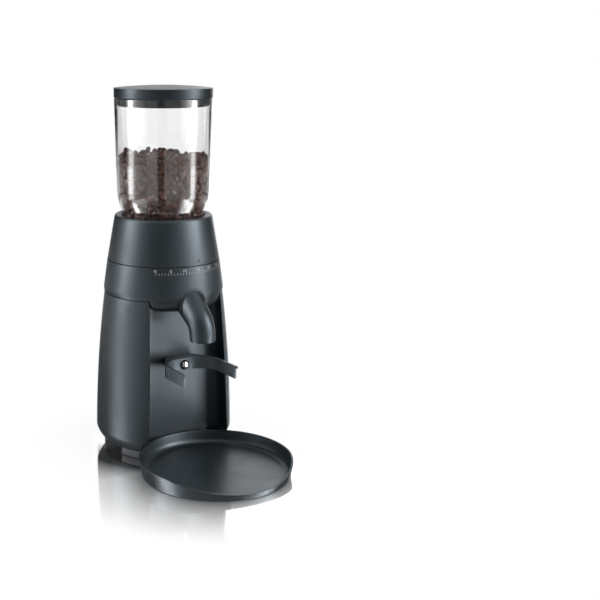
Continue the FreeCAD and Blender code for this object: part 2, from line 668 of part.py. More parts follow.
def toothed(module, teeth, phase, thick, bore, foot, centre):
    wheel = tooth_outline(module.value, teeth, phase).extrude(vector(0, 0, thick))
    wheel = wheel.cut(Part.makeCylinder(bore, thick))
    wheel.translate(vector(centre[0], centre[1], foot))
    return wheel


def make_gears():
    gap = s.running_gap.value
    motor_axis = (0, motor_y.value)
    idler_axis = (idler_x.value, idler_y.value)
    to_idler = math.degrees(math.atan2(idler_axis[1] - motor_axis[1], idler_axis[0] - motor_axis[0]))
    to_burr = math.degrees(math.atan2(-idler_axis[1], -idler_axis[0]))
    thick = s.gear_thick.value
    pinion = toothed(s.module_one, pinion_teeth, to_idler, thick + 1, s.motor_shaft_radius.value + gap,
                     s.stage_one.value - 0.5, motor_axis)
    finish(shaped("motor_pinion_body", pinion), "motor_pinion")
    bore = s.pin_radius.value + gap
    wheel = toothed(s.module_one, wheel_teeth, to_idler + 180 + 180 / wheel_teeth, thick, bore,
                    s.stage_one.value, idler_axis)
    small = toothed(s.module_two, idler_pinion_teeth, to_burr, thick + 3, bore,
                    s.stage_one.value + thick, idler_axis)
    finish(shaped("idler_gear_body", wheel.fuse(small).removeSplitter()), "idler_gear")
    output = toothed(s.module_two, output_teeth, to_burr + 180 + 180 / output_teeth, thick,
                     s.shaft_radius.value + gap, s.stage_two.value, (0, 0))
    hub = Part.makeCylinder(9, 4.5, vector(0, 0, s.stage_two.value + thick))
    hub = hub.cut(Part.makeCylinder(s.shaft_radius.value + gap, 20, vector(0, 0, s.stage_two.value)))
    finish(shaped("output_gear_body", output.fuse(hub).removeSplitter()), "output_gear")


def gearbox_outline(name, foot, height, grow):
    lobes = [cylinder(name + "_burr_lobe", s.module_two * (output_teeth / 2) + 2 + grow, height, 0, 0, foot),
             cylinder(name + "_idler_lobe", s.module_one * (wheel_teeth / 2) + 2 + grow, height,
                      idler_x, idler_y, foot),
             cylinder(name + "_motor_lobe", s.module_one * (pinion_teeth / 2) + 5 + grow, height,
                      0, motor_y, foot)]
    return fuse(name, lobes)


gearbox_lugs = [polar(27.5, 20), polar(27.5, -38), (-48.5, 24.0), (-37.0, -6.0)]


def make_gearbox():
    foot = s.gearbox_floor
    floor = s.gearbox_floor_thick
    tall = s.gearbox_top - foot
    outer = gearbox_outline("gearbox_outer", foot, tall, s.gearbox_wall)
    lugs = [cylinder(f"gearbox_lug_{number}", as_size(4), tall, x, y, foot)
            for number, (x, y) in enumerate(gearbox_lugs)]
    inner = gearbox_outline("gearbox_inner", foot + floor, tall, as_size(0))
    motor_hole = cylinder("gearbox_motor_hole", as_size(8), as_size(10), 0, motor_y, foot - 1)
    lug_holes = [cylinder(f"gearbox_lug_hole_{number}", as_size(1.5), as_size(12), x, y, s.gearbox_top - 10)
                 for number, (x, y) in enumerate(gearbox_lugs)]
    cup = cut("gearbox_cup", fuse("gearbox_block", [outer] + lugs), [inner, motor_hole] + lug_holes)
    bearing = cut("gearbox_bearing",
                  cylinder("bearing_boss", as_size(8.6), as_size(10.5), 0, 0, foot + floor),
                  [cylinder("bearing_seat", as_size(7), as_size(20), 0, 0, foot + floor)])
    pin_boss = cut("gearbox_pin_boss",
                   cylinder("pin_boss", as_size(6), as_size(1.6), idler_x, idler_y, foot + floor),
                   [cylinder("pin_boss_hole", s.pin_radius, as_size(20), idler_x, idler_y, foot)])
    finish(fuse("gearbox_case_body", [cup, bearing, pin_boss]), "gearbox_case")

    top = s.gearbox_top
    plate = gearbox_outline("cover_plate", top, as_size(3), s.gearbox_wall)
    ears = [cylinder(f"cover_ear_{number}", as_size(4), as_size(3), x, y, top)
            for number, (x, y) in enumerate(gearbox_lugs)]
    boss = cylinder("cover_boss", as_size(11), as_size(11), 0, 0, top)
    posts = [cylinder(f"cover_post_{number}", as_size(4), s.chamber_floor - top, x, y, top)
             for number, (x, y) in enumerate((polar(21, 60), polar(21, 180), polar(21, 300)))]
    holes = [cylinder("cover_bearing_seat", as_size(8), as_size(20), 0, 0, top - 1),
             cylinder("cover_pin_hole", s.pin_radius, as_size(20), idler_x, idler_y, top - 1)]
    holes += [cylinder(f"cover_ear_hole_{number}", as_size(1.9), as_size(10), x, y, top - 1)
              for number, (x, y) in enumerate(gearbox_lugs)]
    blank = fuse("cover_blank", [plate, boss] + ears + posts)
    finish(cut("gearbox_cover_body", blank, holes), "gearbox_cover")

    pin = new_body("idler_shaft_body")
    sketch = plane_sketch(pin, "XY_Plane", "idler_shaft_section", foot + floor)
    circle(sketch, s.pin_radius, idler_x, idler_y)
    pad(pin, "idler_shaft_pad", sketch, top + 3 - foot - floor)
    finish(pin, "idler_shaft")

    gap = s.running_gap.value
    low = foot.value + floor.value
    bushes = []
    for start, height, radius in ((low, 10.5, 7.0), (top.value, 11.0, 8.0)):
        ring = Part.makeCylinder(radius, height, vector(0, 0, start))
        bushes.append(ring.cut(Part.makeCylinder(s.shaft_radius.value + gap, height, vector(0, 0, start))))
    finish(shaped("shaft_bearings_body", Part.makeCompound(bushes)), "shaft_bearings")

    screws = []
    for x, y in gearbox_lugs:
        head = Part.makeCylinder(3.2, 2.4, vector(x, y, top.value + 3))
        shank = Part.makeCylinder(1.4, 11, vector(x, y, top.value - 7.9))
        screws.append(head.fuse(shank).removeSplitter())
    finish(shaped("gearbox_screws_body", Part.makeCompound(screws)), "gearbox_screws")


def make_motor():
    gap = s.running_gap.value
    axis = vector(0, motor_y.value, 0)
    foot = s.motor_foot.value
    top = s.gearbox_floor.value
    cap = s.motor_cap.value
    outer, wall = s.motor_radius.value, s.motor_wall.value
    shaft_radius = s.motor_shaft_radius.value

    def ring(radius, bore, low, high):
        low_point = vector(0, motor_y.value, low)
        tube = Part.makeCylinder(radius, high - low, low_point)
        return tube.cut(Part.makeCylinder(bore, high - low, low_point)) if bore else tube

    can = ring(outer, outer - wall, foot + cap, top).fuse(ring(outer - wall / 2, 7.5, top - 3, top))
    can = can.fuse(ring(7.5, 5.0, top - 9, top)).removeSplitter()
    finish(shaped("motor_can_body", can), "motor_can")

    end_cap = ring(outer, 5.0, foot, foot + cap)
    for side in (-1, 1):
        holder = Part.makeBox(8, 10, 18, vector(side * 20.5 - 4, motor_y.value - 5, foot + cap))
        end_cap = end_cap.fuse(holder.common(ring(outer - wall - 0.1, 0, foot, top)))
    finish(shaped("motor_end_cap_body", end_cap.removeSplitter()), "motor_end_cap")

    brushes = []
    for side in (-1, 1):
        low_x = 9.3 if side > 0 else -16.5
        brushes.append(Part.makeBox(7.2, 6, 8, vector(low_x, motor_y.value - 3, foot + cap + 8)))
    finish(shaped("carbon_brushes_body", Part.makeCompound(brushes)), "carbon_brushes")

    magnets = []
    for side in (-1, 1):
        arc = ring(outer - wall - 0.05, s.armature_radius.value + 0.8, s.armature_foot.value,
                   s.armature_foot.value + s.armature_height.value)
        edge = 4 if side > 0 else -4 - 2 * outer
        keep = Part.makeBox(2 * outer, 2 * outer, 200, vector(-outer, motor_y.value + edge, 0))
        magnets.append(arc.common(keep))
    finish(shaped("motor_magnets_body", Part.makeCompound(magnets)), "motor_magnets")

    armature_foot, armature_tall = s.armature_foot.value, s.armature_height.value
    stack = ring(s.armature_radius.value, shaft_radius + gap, armature_foot, armature_foot + armature_tall)
    for number in range(12):
        slot = Part.makeBox(7, 3, armature_tall, vector(s.armature_radius.value - 6, -1.5, armature_foot))
        slot.rotate(vector(0, 0, 0), vector(0, 0, 1), 30 * number)
        slot.translate(axis)
        stack = stack.cut(slot)
    commutator = ring(9.0, shaft_radius + gap, foot + cap + 6, armature_foot)
    finish(shaped("armature_body", stack.fuse(commutator).removeSplitter()), "armature")

    shaft = new_body("motor_shaft_body")
    sketch = plane_sketch(shaft, "XY_Plane", "motor_shaft_section", s.motor_foot + 0.5)
    circle(sketch, s.motor_shaft_radius, 0, motor_y)
    pad(shaft, "motor_shaft_pad", sketch, s.stage_one + s.gear_thick + 0.5 - s.motor_foot - 0.5)
    finish(shaft, "motor_shaft")

    bushes = [ring(5.0, shaft_radius + gap, foot, foot + cap), ring(5.0, shaft_radius + gap, top - 9, top)]
    finish(shaped("motor_bushes_body", Part.makeCompound(bushes)), "motor_bushes")


def make_fork():
    fork = new_body("fork_blank")
    half = s.fork_half_gap
    outer_half = half + s.fork_wall
    corner = s.fork_corner
    inset = corner * (1 - math.sqrt(0.5))
    root = s.recess_back + 0.25
    side = s.fork_back + corner
    wall = s.fork_wall

    def inner_edge(grow):
        # The U between the prongs, from the left tip round to the right tip.
        return [(-(half + grow), -s.fork_tip), (-(half + grow), -side,
                                                (-(half + grow - inset), -(s.fork_back - grow + inset))),
                (-(half - corner), -(s.fork_back - grow)),
                (half - corner, -(s.fork_back - grow), (half + grow - inset, -(s.fork_back - grow + inset))),
                (half + grow, -side), (half + grow, -s.fork_tip)]

    def flipped(path):
        # The same path walked from its other end: every arc starts at the corner where it ended.
        points = [(corner[0], corner[1]) for corner in path]
        mids = [corner[2] if len(corner) == 3 else None for corner in path]
        back = []
        for index in range(len(points) - 1, -1, -1):
            middle = mids[index - 1] if index > 0 else None
            back.append(points[index] + (middle,) if middle else points[index])
        return back

    plate = plane_sketch(fork, "XY_Plane", "fork_plate_outline", s.fork_top - s.fork_plate)
    outline(plate, inner_edge(as_size(0)) + [
        (outer_half + 0.8, -(s.fork_tip + 1.5)), (outer_half, -(side + 4), (half - 3, -(side - 17))),
        (s.fork_stem_half + 4, -root), (-(s.fork_stem_half + 4), -root, (-(half - 3), -(side - 17))),
        (-outer_half, -(side + 4)), (-(outer_half + 0.8), -(s.fork_tip + 1.5))])
    pad(fork, "fork_plate_pad", plate, s.fork_plate)
    skirt = plane_sketch(fork, "XY_Plane", "fork_skirt_outline", s.fork_top - s.fork_height)
    outline(skirt, inner_edge(as_size(0)) + flipped(inner_edge(wall)))
    pad(fork, "fork_skirt_pad", skirt, s.fork_height)
    stem = plane_sketch(fork, "XY_Plane", "fork_stem_outline", s.fork_top - s.fork_height)
    rectangle(stem, -s.fork_stem_half, s.fork_stem_half, -(s.fork_back - 0.5), -root)
    pad(fork, "fork_stem_pad", stem, s.fork_height)
    bore = rod_along_y("fork_bore", s.button_radius + 1.3, -(s.fork_back + 5), 0, s.button_height)
    finish(cut("portafilter_holder_body", fork, [bore]), "portafilter_holder")


def make_button():
    inside = s.recess_back - s.recess_wall
    level = s.button_height
    tip = s.button_tip
    flange_front = inside - 0.3
    tail_end = s.switch_plate + 3
    cap = turned_along_y("start_button_body", level, [
        (-tip, level), (-tip, level + s.button_radius * 0.2, (-(tip - 0.6), level + s.button_radius * 0.7)),
        (-(tip - 2.2), level + s.button_radius), (-flange_front, level + s.button_radius),
        (-flange_front, level + s.button_flange), (-(flange_front - 2), level + s.button_flange),
        (-(flange_front - 2), level + s.button_tail), (-tail_end, level + s.button_tail), (-tail_end, level)])
    finish(cap, "start_button")

    plate_face = s.switch_plate
    plate = box("bracket_plate", (-14, -plate_face, level - 8), (14, -(plate_face - 2), level + 8))
    legs = [box(f"bracket_leg_{side}", (12 * side - (2 if side > 0 else 0), -inside, level - 8),
                (12 * side + (0 if side > 0 else 2), -(plate_face - 2), level + 8)) for side in (-1, 1)]
    hole = rod_along_y("bracket_hole", s.button_tail + 0.5, -(plate_face + 1), 0, level)
    finish(cut("switch_bracket_body", fuse("bracket_blank", [plate] + legs), [hole]), "switch_bracket")

    case = box("microswitch_case", (-10, -(plate_face - 2), level - 12), (10, -(plate_face - 8.5), level + 5))
    room = rod_along_y("microswitch_pin_room", s.button_tail + 0.5, -plate_face, -(plate_face - 5), level)
    pins = [box(f"microswitch_pin_{number}", (5 * number - 0.4, -(plate_face - 5), level - 17),
                (5 * number + 0.4, -(plate_face - 6), level - 11)) for number in (-1, 0, 1)]
    finish(cut("microswitch_body", fuse("microswitch_blank", [case] + pins), [room]), "microswitch")

    spring = ring_spring(-(flange_front.value - 2.05), -(plate_face.value + 0.05), level.value)
    finish(shaped("button_spring_body", spring), "button_spring")


def ring_spring(front, back, level):
    # A compression spring as one round wire wound about the button's tail.
    wire_radius, coil_radius, turns = 0.4, 3.9, 6
    rise = back - front - 2 * wire_radius
    helix = Part.makeHelix(rise / turns, rise, coil_radius)
    section = Part.Wire(Part.makeCircle(wire_radius, vector(coil_radius, 0, 0), vector(0, 1, 0)))
    coil = Part.Wire(helix).makePipeShell([section], True, True)
    coil.rotate(vector(0, 0, 0), vector(1, 0, 0), -90)
    coil.translate(vector(0, front + wire_radius, level))
    return coil


def make_switch():
    half_wide, half_tall = s.rocker_half_width, s.rocker_half_height
    level = s.rocker_height
    face = s.switch_face
    flange = box("switch_flange", (-(half_wide + 4), face - 2.2, level - 10.5),
                 (half_wide + 4, face, level + 10.5))
    tube = box("switch_tube", (-(half_wide + 1.7), face - 13.5, level - 8.2),
               (half_wide + 1.7, face, level + 8.2))
    inside = box("switch_inside", (-(half_wide + 0.4), face - 12, level - 6.8),
                 (half_wide + 0.4, face + 2, level + 6.8))
    curve = cylinder("switch_flange_room", s.crease_radius - 0.15, s.lid_apex)
    rim = cut("switch_rim", flange, [curve])
    depth = s.rocker_pivot_depth
    pin_holes = new_body("rocker_pin_holes")
    sketch = plane_sketch(pin_holes, "YZ_Plane", "pin_hole_section")
    circle(sketch, s.rocker_pin_radius + s.running_gap, face - depth, level)
    pad(pin_holes, "pin_hole_pad", sketch, half_wide * 2 + 5, both=True)
    frame_blank = fuse("switch_blank", [rim, tube])
    finish(cut("switch_frame_body", frame_blank, [inside, pin_holes]), "switch_frame")

    rocker = new_body("power_rocker_blank")
    sketch = plane_sketch(rocker, "YZ_Plane", "rocker_profile")
    outline(sketch, [(-depth, -4.5), (depth + 0.4, -half_tall, (depth, 0)), (depth + 0.4, half_tall),
                     (-depth, 4.5)])
    pad(rocker, "rocker_pad", sketch, half_wide * 2, both=True)
    pin = plane_sketch(rocker, "YZ_Plane", "rocker_pin_section")
    circle(pin, s.rocker_pin_radius)
    pad(rocker, "rocker_pin", pin, (half_wide + s.rocker_pin_reach) * 2, both=True)
    tilted = doc.addObject("Part::Compound", "power_rocker_body")
    tilted.Links = [rocker]
    tilted.Placement.Rotation = FreeCAD.Rotation(vector(1, 0, 0), s.rocker_tilt.value)
    tilted.setExpression("Placement.Base.z", level.text)
    tilted.Label = "power_rocker"
    tilted.setExpression("Placement.Base.y", (axis_shift + face - depth).text)
    finished.append(tilted)


def make_inlet():
    level = s.inlet_height
    end = s.rear_reach
    gland = turned_along_y("cable_inlet_blank", level, [
        (end - 9, level + s.inlet_bore), (end, level + s.inlet_bore), (end, level + s.inlet_flange - 1.5),
        (end - 1.5, level + s.inlet_flange), (end - 2.2, level + s.inlet_flange),
        (end - 2.2, level + s.inlet_radius - 0.1), (end - 9, level + s.inlet_radius - 0.1)])
    room = cylinder("inlet_flange_room", s.crease_radius + 0.05, s.lid_apex)
    slot = rod_along_y("inlet_keep", s.inlet_radius + 0.5, s.motor_radius, s.rear_reach + 5, level)
    finish(cut("cable_inlet_body", gland, [cut("inlet_trim", room, [slot])]), "cable_inlet")


def make_tray():
    tray = new_body("tray_blank")
    wall, floor, soft = s.tray_wall, s.tray_floor, s.tray_inner_round
    inner_rim = s.tray_radius - wall
    inner_foot = s.tray_foot_radius - wall
    revolve(tray, "tray_turned", [
        (0, 0), (s.tray_foot_radius - 1, 0), (s.tray_foot_radius, 1), (s.tray_radius, s.tray_height - 1),
        (s.tray_radius - 0.6, s.tray_height), (inner_rim, s.tray_height),
        (inner_foot + 0.6, floor + soft, (inner_foot - 1.6, floor + 2.2)), (inner_foot - soft, floor),
        (0, floor)])
    wedge = new_body("tray_lip_cut")
    sketch = plane_sketch(wedge, "YZ_Plane", "tray_lip_outline")
    start = s.lip_start - s.tray_distance
    end = s.tray_radius + 1
    high = s.tray_height + 5
    outline(sketch, [(-start, s.tray_height, (-(start + 14), s.tray_height - 1.5)),
                     (-(start + 24), s.tray_height - 3.7), (-end, s.lip_end_height), (-end, high),
                     (-start, high)])
    pad(wedge, "tray_lip_pad", sketch, s.tray_radius * 2 + 4, both=True)
    trimmed = cut("tray_body", tray, [wedge])
    trimmed.Label = "grounds_tray"
    trimmed.setExpression("Placement.Base.y", (axis_shift - s.tray_distance).text)
    finished.append(trimmed)


make_lid()
make_hopper()
make_collar()
make_scale_ring()
make_housing()
make_base()
make_board()
make_spout()
make_chin()
make_chamber()
make_burrs()
make_drive()
make_gears()
make_gearbox()
make_motor()
make_fork()
make_button()
make_switch()
make_inlet()
make_tray()
doc.recompute()

for item in doc.Objects:
    if "Invalid" in item.State or "Error" in item.State:
        raise RuntimeError(f"{item.Name} did not build: {item.State}")
os.makedirs("parts", exist_ok=True)
for piece in finished:
    if piece.Shape.isNull() or not piece.Shape.isValid():
        raise RuntimeError(f"{piece.Label} has no valid shape")
for piece in finished:
    piece.Shape.exportStep(f"parts/{piece.Label}.step")
    print(piece.Label, "solids", len(piece.Shape.Solids), "volume", round(piece.Shape.Volume))
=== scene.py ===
# Free-standing burr coffee grinder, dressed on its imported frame. Metres; front is -Y, table at z = 0.
# The shaped pieces' own sizes are in millimetres, and gridPiece turns them into metres.
import bpy
import bmesh
import math
import random
from mathutils import Matrix, Vector


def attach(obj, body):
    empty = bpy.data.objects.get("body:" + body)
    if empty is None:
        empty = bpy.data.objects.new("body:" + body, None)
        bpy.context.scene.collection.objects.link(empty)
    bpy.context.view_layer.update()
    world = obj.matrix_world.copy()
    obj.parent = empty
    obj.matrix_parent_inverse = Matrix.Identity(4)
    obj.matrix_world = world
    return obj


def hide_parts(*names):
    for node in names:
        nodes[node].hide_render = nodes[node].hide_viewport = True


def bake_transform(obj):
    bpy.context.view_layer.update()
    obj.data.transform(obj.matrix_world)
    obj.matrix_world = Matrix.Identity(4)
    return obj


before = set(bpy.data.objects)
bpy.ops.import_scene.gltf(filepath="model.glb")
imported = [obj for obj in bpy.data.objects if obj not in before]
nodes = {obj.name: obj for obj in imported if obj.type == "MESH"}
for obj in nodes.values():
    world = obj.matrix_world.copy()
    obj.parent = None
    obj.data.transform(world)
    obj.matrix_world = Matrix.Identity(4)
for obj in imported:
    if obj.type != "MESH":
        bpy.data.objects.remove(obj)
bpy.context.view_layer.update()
axisY = 0.05525  # burr axis, where the turned pieces are centred
print("frame loaded:", len(nodes), "nodes")


class Wire:  # one output of a node tree, so that shader sums read as arithmetic
    def __init__(self, tree, socket):
        self.tree = tree
        self.socket = socket

    def work(self, operation, other, swapped=False):
        node = self.tree.nodes.new("ShaderNodeMath")
        node.operation = operation
        for place, value in enumerate((other, self) if swapped else (self, other)):
            if isinstance(value, Wire):
                self.tree.links.new(value.socket, node.inputs[place])
            else:
                node.inputs[place].default_value = value
        return Wire(self.tree, node.outputs[0])

    def __add__(self, other):
        return self.work("ADD", other)

    def __radd__(self, other):
        return self.work("ADD", other, True)

    def __sub__(self, other):
        return self.work("SUBTRACT", other)

    def __rsub__(self, other):
        return self.work("SUBTRACT", other, True)

    def __mul__(self, other):
        return self.work("MULTIPLY", other)

    def __rmul__(self, other):
        return self.work("MULTIPLY", other, True)

    def __truediv__(self, other):
        return self.work("DIVIDE", other)

    def __rtruediv__(self, other):
        return self.work("DIVIDE", other, True)


class Shading:  # the node tree of a material or of the world
    def __init__(self, owner):
        owner.use_nodes = True
        self.tree = owner.node_tree

    def feed(self, socket, value):
        if isinstance(value, Wire):
            self.tree.links.new(value.socket, socket)
        else:
            socket.default_value = value

    def add(self, kind, settings=None, sockets=None, output=0):
        node = self.tree.nodes.new(kind)
        for name, value in (settings or {}).items():
            setattr(node, name, value)
        for name, value in (sockets or {}).items():
            self.feed(node.inputs[name], value)
        return Wire(self.tree, node.outputs[output])

    def ray(self, kind):  # what kind of ray asks for the shade
        return self.add("ShaderNodeLightPath", output=kind)


class Finish(Shading):  # one material, made node by node around its Principled shader
    def __init__(self, name, **constants):
        self.material = bpy.data.materials.new(name)
        super().__init__(self.material)
        self.shader = self.tree.nodes["Principled BSDF"]
        for socket, value in constants.items():
            self.set(socket.replace("_", " "), value)

    def set(self, socket, value):
        self.feed(self.shader.inputs[socket], value)

    def place(self):  # the piece's own coordinates, in metres
        return self.add("ShaderNodeTexCoord", output="Object")

    def noise(self, scale, detail=3.0, roughness=0.5, vector=None):
        return self.add("ShaderNodeTexNoise", {}, {
            "Vector": vector or self.place(), "Scale": scale, "Detail": detail, "Roughness": roughness})

    def blend(self, factor, first, second):
        return self.add("ShaderNodeMix", {"data_type": "RGBA"}, {0: factor, 6: first, 7: second}, 2)

    def span(self, value, low, high, toLow=0.0, toHigh=1.0):
        return self.add("ShaderNodeMapRange", {}, {
            "Value": value, "From Min": low, "From Max": high, "To Min": toLow, "To Max": toHigh})

    def tones(self, cloud, low, high, shade, tint):  # two tones that drift into each other
        return self.blend(self.span(cloud, low, high), rgb(*shade), rgb(*tint))

    def bump(self, height, strength, distance):
        self.set("Normal", self.add("ShaderNodeBump", {}, {
            "Height": height, "Strength": strength, "Distance": distance}))


def rgb(red, green, blue):
    return (red, green, blue, 1.0)


coolSheen = (0.78, 0.90, 1.0)
plastics = {
    "bodyPlastic": dict(shade=(0.0058, 0.0090, 0.0112), tint=(0.0071, 0.0108, 0.0132), rough=0.41, gloss=0.66,
                        grain=2600.0, relief=0.25, sheen=coolSheen),
    "lidPlastic": dict(shade=(0.0066, 0.0099, 0.0122), tint=(0.0080, 0.0117, 0.0143), rough=0.36, gloss=0.55,
                       grain=2400.0, relief=0.2, sheen=coolSheen),
    "trayPlastic": dict(shade=(0.0088, 0.0127, 0.0153), tint=(0.0104, 0.0149, 0.0178), rough=0.36, gloss=0.62,
                        grain=2200.0, relief=0.2, sheen=coolSheen),
    "forkPlastic": dict(shade=(0.0300, 0.0370, 0.0420), tint=(0.0355, 0.0435, 0.0490), rough=0.45, gloss=0.66,
                        grain=2000.0, relief=0.3, sheen=coolSheen),
    "innerPlastic": dict(shade=(0.012, 0.012, 0.013), tint=(0.018, 0.018, 0.02), rough=0.5, gloss=0.4,
                         grain=1800.0, relief=0.5),
    "rockerPlastic": dict(shade=(0.01, 0.01, 0.011), tint=(0.014, 0.014, 0.015), rough=0.16, gloss=0.5,
                          grain=3000.0, relief=0.1),
    "markInk": dict(shade=(0.0015, 0.0015, 0.0015), tint=(0.003, 0.003, 0.003), rough=0.7, gloss=0.05,
                    grain=3000.0, relief=0.1),
}


def mouldedPlastic(name, shade, tint, rough, gloss, grain, relief, sheen=(1, 1, 1)):
    # dark satin moulding: spark texture, faint flow and a little dust
    finish = Finish(name, Specular_IOR_Level=gloss, Specular_Tint=rgb(*sheen))
    spark = finish.noise(grain, 2.0, 0.6)
    flow = finish.noise(26.0, 4.0, 0.55)
    dust = finish.span(finish.noise(900.0, 1.0, 0.5), 0.68, 0.8)
    base = finish.tones(flow, 0.3, 0.7, shade, tint)
    finish.set("Base Color", finish.blend(dust * 0.05, base, rgb(0.3, 0.31, 0.32)))
    finish.set("Roughness", finish.span(flow, 0.25, 0.75, rough - 0.05, rough + 0.06) + (spark - 0.5) * 0.06)
    finish.bump(spark, relief, 0.00012)
    return finish.material


def clearMoulding(name):  # clear hopper: thin haze from handling and a few faint rubs
    finish = Finish(name, Transmission_Weight=1.0, IOR=1.57)
    haze = finish.noise(34.0, 5.0, 0.6)
    rubs = finish.span(finish.noise(420.0, 2.0, 0.7), 0.62, 0.8)
    finish.set("Base Color", finish.blend(haze * 0.5, rgb(0.998, 0.999, 1.0), rgb(0.982, 0.985, 0.988)))
    finish.set("Roughness", finish.span(haze, 0.3, 0.75, 0.0, 0.03) + rubs * 0.02)
    finish.set("Alpha", 1 - finish.ray("Is Shadow Ray") * 0.92)  # lets lamplight in
    return finish.material


metals = {
    "burrSteel": dict(shade=(0.52, 0.53, 0.55), tint=(0.62, 0.63, 0.65), rough=0.3,
                      streak=(240, 240, 2600)),
    "shaftSteel": dict(shade=(0.45, 0.46, 0.48), tint=(0.58, 0.59, 0.61), rough=0.32,
                       streak=(300, 300, 3000)),
    "buttonChrome": dict(shade=(0.78, 0.79, 0.81), tint=(0.86, 0.87, 0.88), rough=0.12,
                         streak=(900, 200, 900)),
    "bushBronze": dict(shade=(0.52, 0.36, 0.16), tint=(0.66, 0.48, 0.24), rough=0.36,
                       streak=(260, 260, 2600)),
    "blackSteel": dict(shade=(0.02, 0.02, 0.022), tint=(0.035, 0.035, 0.038), rough=0.45,
                       streak=(300, 300, 3000)),
    "canSteel": dict(shade=(0.36, 0.37, 0.38), tint=(0.48, 0.49, 0.5), rough=0.42,
                     streak=(120, 120, 900)),
}


def turnedMetal(name, shade, tint, rough, streak):  # lathe lines run round the axis
    finish = Finish(name, Metallic=1.0)
    stretched = finish.add("ShaderNodeMapping", {}, {"Vector": finish.place(), "Scale": streak})
    lines = finish.noise(1.0, 3.0, 0.6, stretched)
    finish.set("Base Color", finish.tones(finish.noise(60.0, 4.0, 0.6), 0.35, 0.7, shade, tint))
    finish.set("Roughness", rough + (lines - 0.5) * 0.22)
    finish.bump(lines, 0.25, 0.00008)
    return finish.material


rubbers = {
    "sealRubber": dict(shade=(0.0035, 0.0048, 0.0058), tint=(0.006, 0.0078, 0.0092)),
    "footRubber": dict(shade=(0.075, 0.08, 0.09), tint=(0.11, 0.115, 0.125)),
}


def softRubber(name, shade, tint):
    finish = Finish(name, Specular_IOR_Level=0.25)
    pores = finish.noise(1500.0, 3.0, 0.6)
    finish.set("Base Color", finish.tones(finish.noise(70.0, 4.0, 0.6), 0.35, 0.75, shade, tint))
    finish.set("Roughness", 0.62 + (pores - 0.5) * 0.2)
    finish.bump(pores, 0.5, 0.0002)
    return finish.material


def paleNylon(name):
    finish = Finish(name, Specular_IOR_Level=0.45)
    flow = finish.noise(45.0, 4.0, 0.5)
    finish.set("Base Color", finish.tones(flow, 0.3, 0.7, (0.72, 0.70, 0.62), (0.8, 0.78, 0.71)))
    finish.set("Roughness", 0.42 + (flow - 0.5) * 0.15)
    finish.bump(finish.noise(1600.0, 2.0, 0.6), 0.2, 0.0001)
    return finish.material


def darkIron(name):  # stacked plates, a little stained
    finish = Finish(name, Metallic=0.6)
    plates = finish.add("ShaderNodeTexWave", {"bands_direction": "Z"}, {
        "Vector": finish.place(), "Scale": 320.0, "Distortion": 0.3})
    stain = finish.noise(90.0, 4.0, 0.6)
    finish.set("Base Color", finish.blend(stain, rgb(0.10, 0.095, 0.09), rgb(0.2, 0.185, 0.17)))
    finish.set("Roughness", 0.48 + (stain - 0.5) * 0.25)
    finish.bump(plates, 0.3, 0.0002)
    return finish.material


def lacqueredBoard(name):
    finish = Finish(name)
    weave = finish.add("ShaderNodeTexBrick", {}, {
        "Vector": finish.place(), "Scale": 900.0, "Mortar Size": 0.06, "Color1": rgb(1, 1, 1),
        "Color2": rgb(0.8, 0.8, 0.8), "Mortar": rgb(0, 0, 0)})
    blotch = finish.noise(120.0, 3.0, 0.6)
    finish.set("Base Color", finish.blend(blotch, rgb(0.02, 0.11, 0.05), rgb(0.035, 0.16, 0.075)))
    finish.set("Roughness", 0.32 + (blotch - 0.5) * 0.2)
    finish.bump(weave, 0.15, 0.0001)
    return finish.material


def whitePrint(name):  # pad-printed scale, a little worn
    finish = Finish(name, Specular_IOR_Level=0.4)
    worn = finish.span(finish.noise(1400.0, 3.0, 0.6), 0.3, 0.62)
    finish.set("Base Color", finish.blend(worn, rgb(0.34, 0.35, 0.37), rgb(0.50, 0.51, 0.53)))
    finish.set("Roughness", 0.5 + (worn - 0.5) * 0.1)
    return finish.material


bodyPlastic, lidPlastic, trayPlastic, forkPlastic, innerPlastic, rockerPlastic, markInk = (
    mouldedPlastic(name, **look) for name, look in plastics.items())
burrSteel, shaftSteel, buttonChrome, bushBronze, blackSteel, canSteel = (
    turnedMetal(name, **look) for name, look in metals.items())
sealRubber, footRubber = (softRubber(name, **look) for name, look in rubbers.items())
clearHopper = clearMoulding("clearMoulding")
gearNylon = paleNylon("paleNylon")
coreIron = darkIron("darkIron")
boardGreen = lacqueredBoard("lacqueredBoard")
scalePrint = whitePrint("whitePrint")

nodeFinishes = {
    bodyPlastic: ["grind_collar", "scale_ring", "body_shell", "spout", "spout_boss"],
    forkPlastic: ["portafilter_holder"],
    lidPlastic: ["hopper_lid"],
    trayPlastic: ["grounds_tray"],
    clearHopper: ["bean_hopper"],
    sealRubber: ["lid_seal", "cable_inlet"],
    footRubber: ["feet"],
    innerPlastic: ["base_plate", "grinding_chamber", "burr_carrier", "gearbox_case", "gearbox_cover",
                   "motor_end_cap", "microswitch", "switch_frame"],
    rockerPlastic: ["power_rocker"],
    burrSteel: ["cone_burr", "ring_burr"],
    shaftSteel: ["drive_shaft", "motor_shaft", "idler_shaft", "burr_bolt", "button_spring", "switch_bracket",
                 "gearbox_screws"],
    blackSteel: ["base_screws"],
    buttonChrome: ["start_button"],
    gearNylon: ["idler_gear", "output_gear", "sweeper"],
    bushBronze: ["shaft_bearings", "motor_bushes", "motor_pinion"],
    canSteel: ["motor_can"],
    coreIron: ["armature", "motor_magnets", "carbon_brushes"],
    boardGreen: ["rectifier_board"],
}
for material, names in nodeFinishes.items():
    for name in names:
        nodes[name].data.materials.clear()
        nodes[name].data.materials.append(material)
print("finishes given to", sum(len(names) for names in nodeFinishes.values()), "nodes")


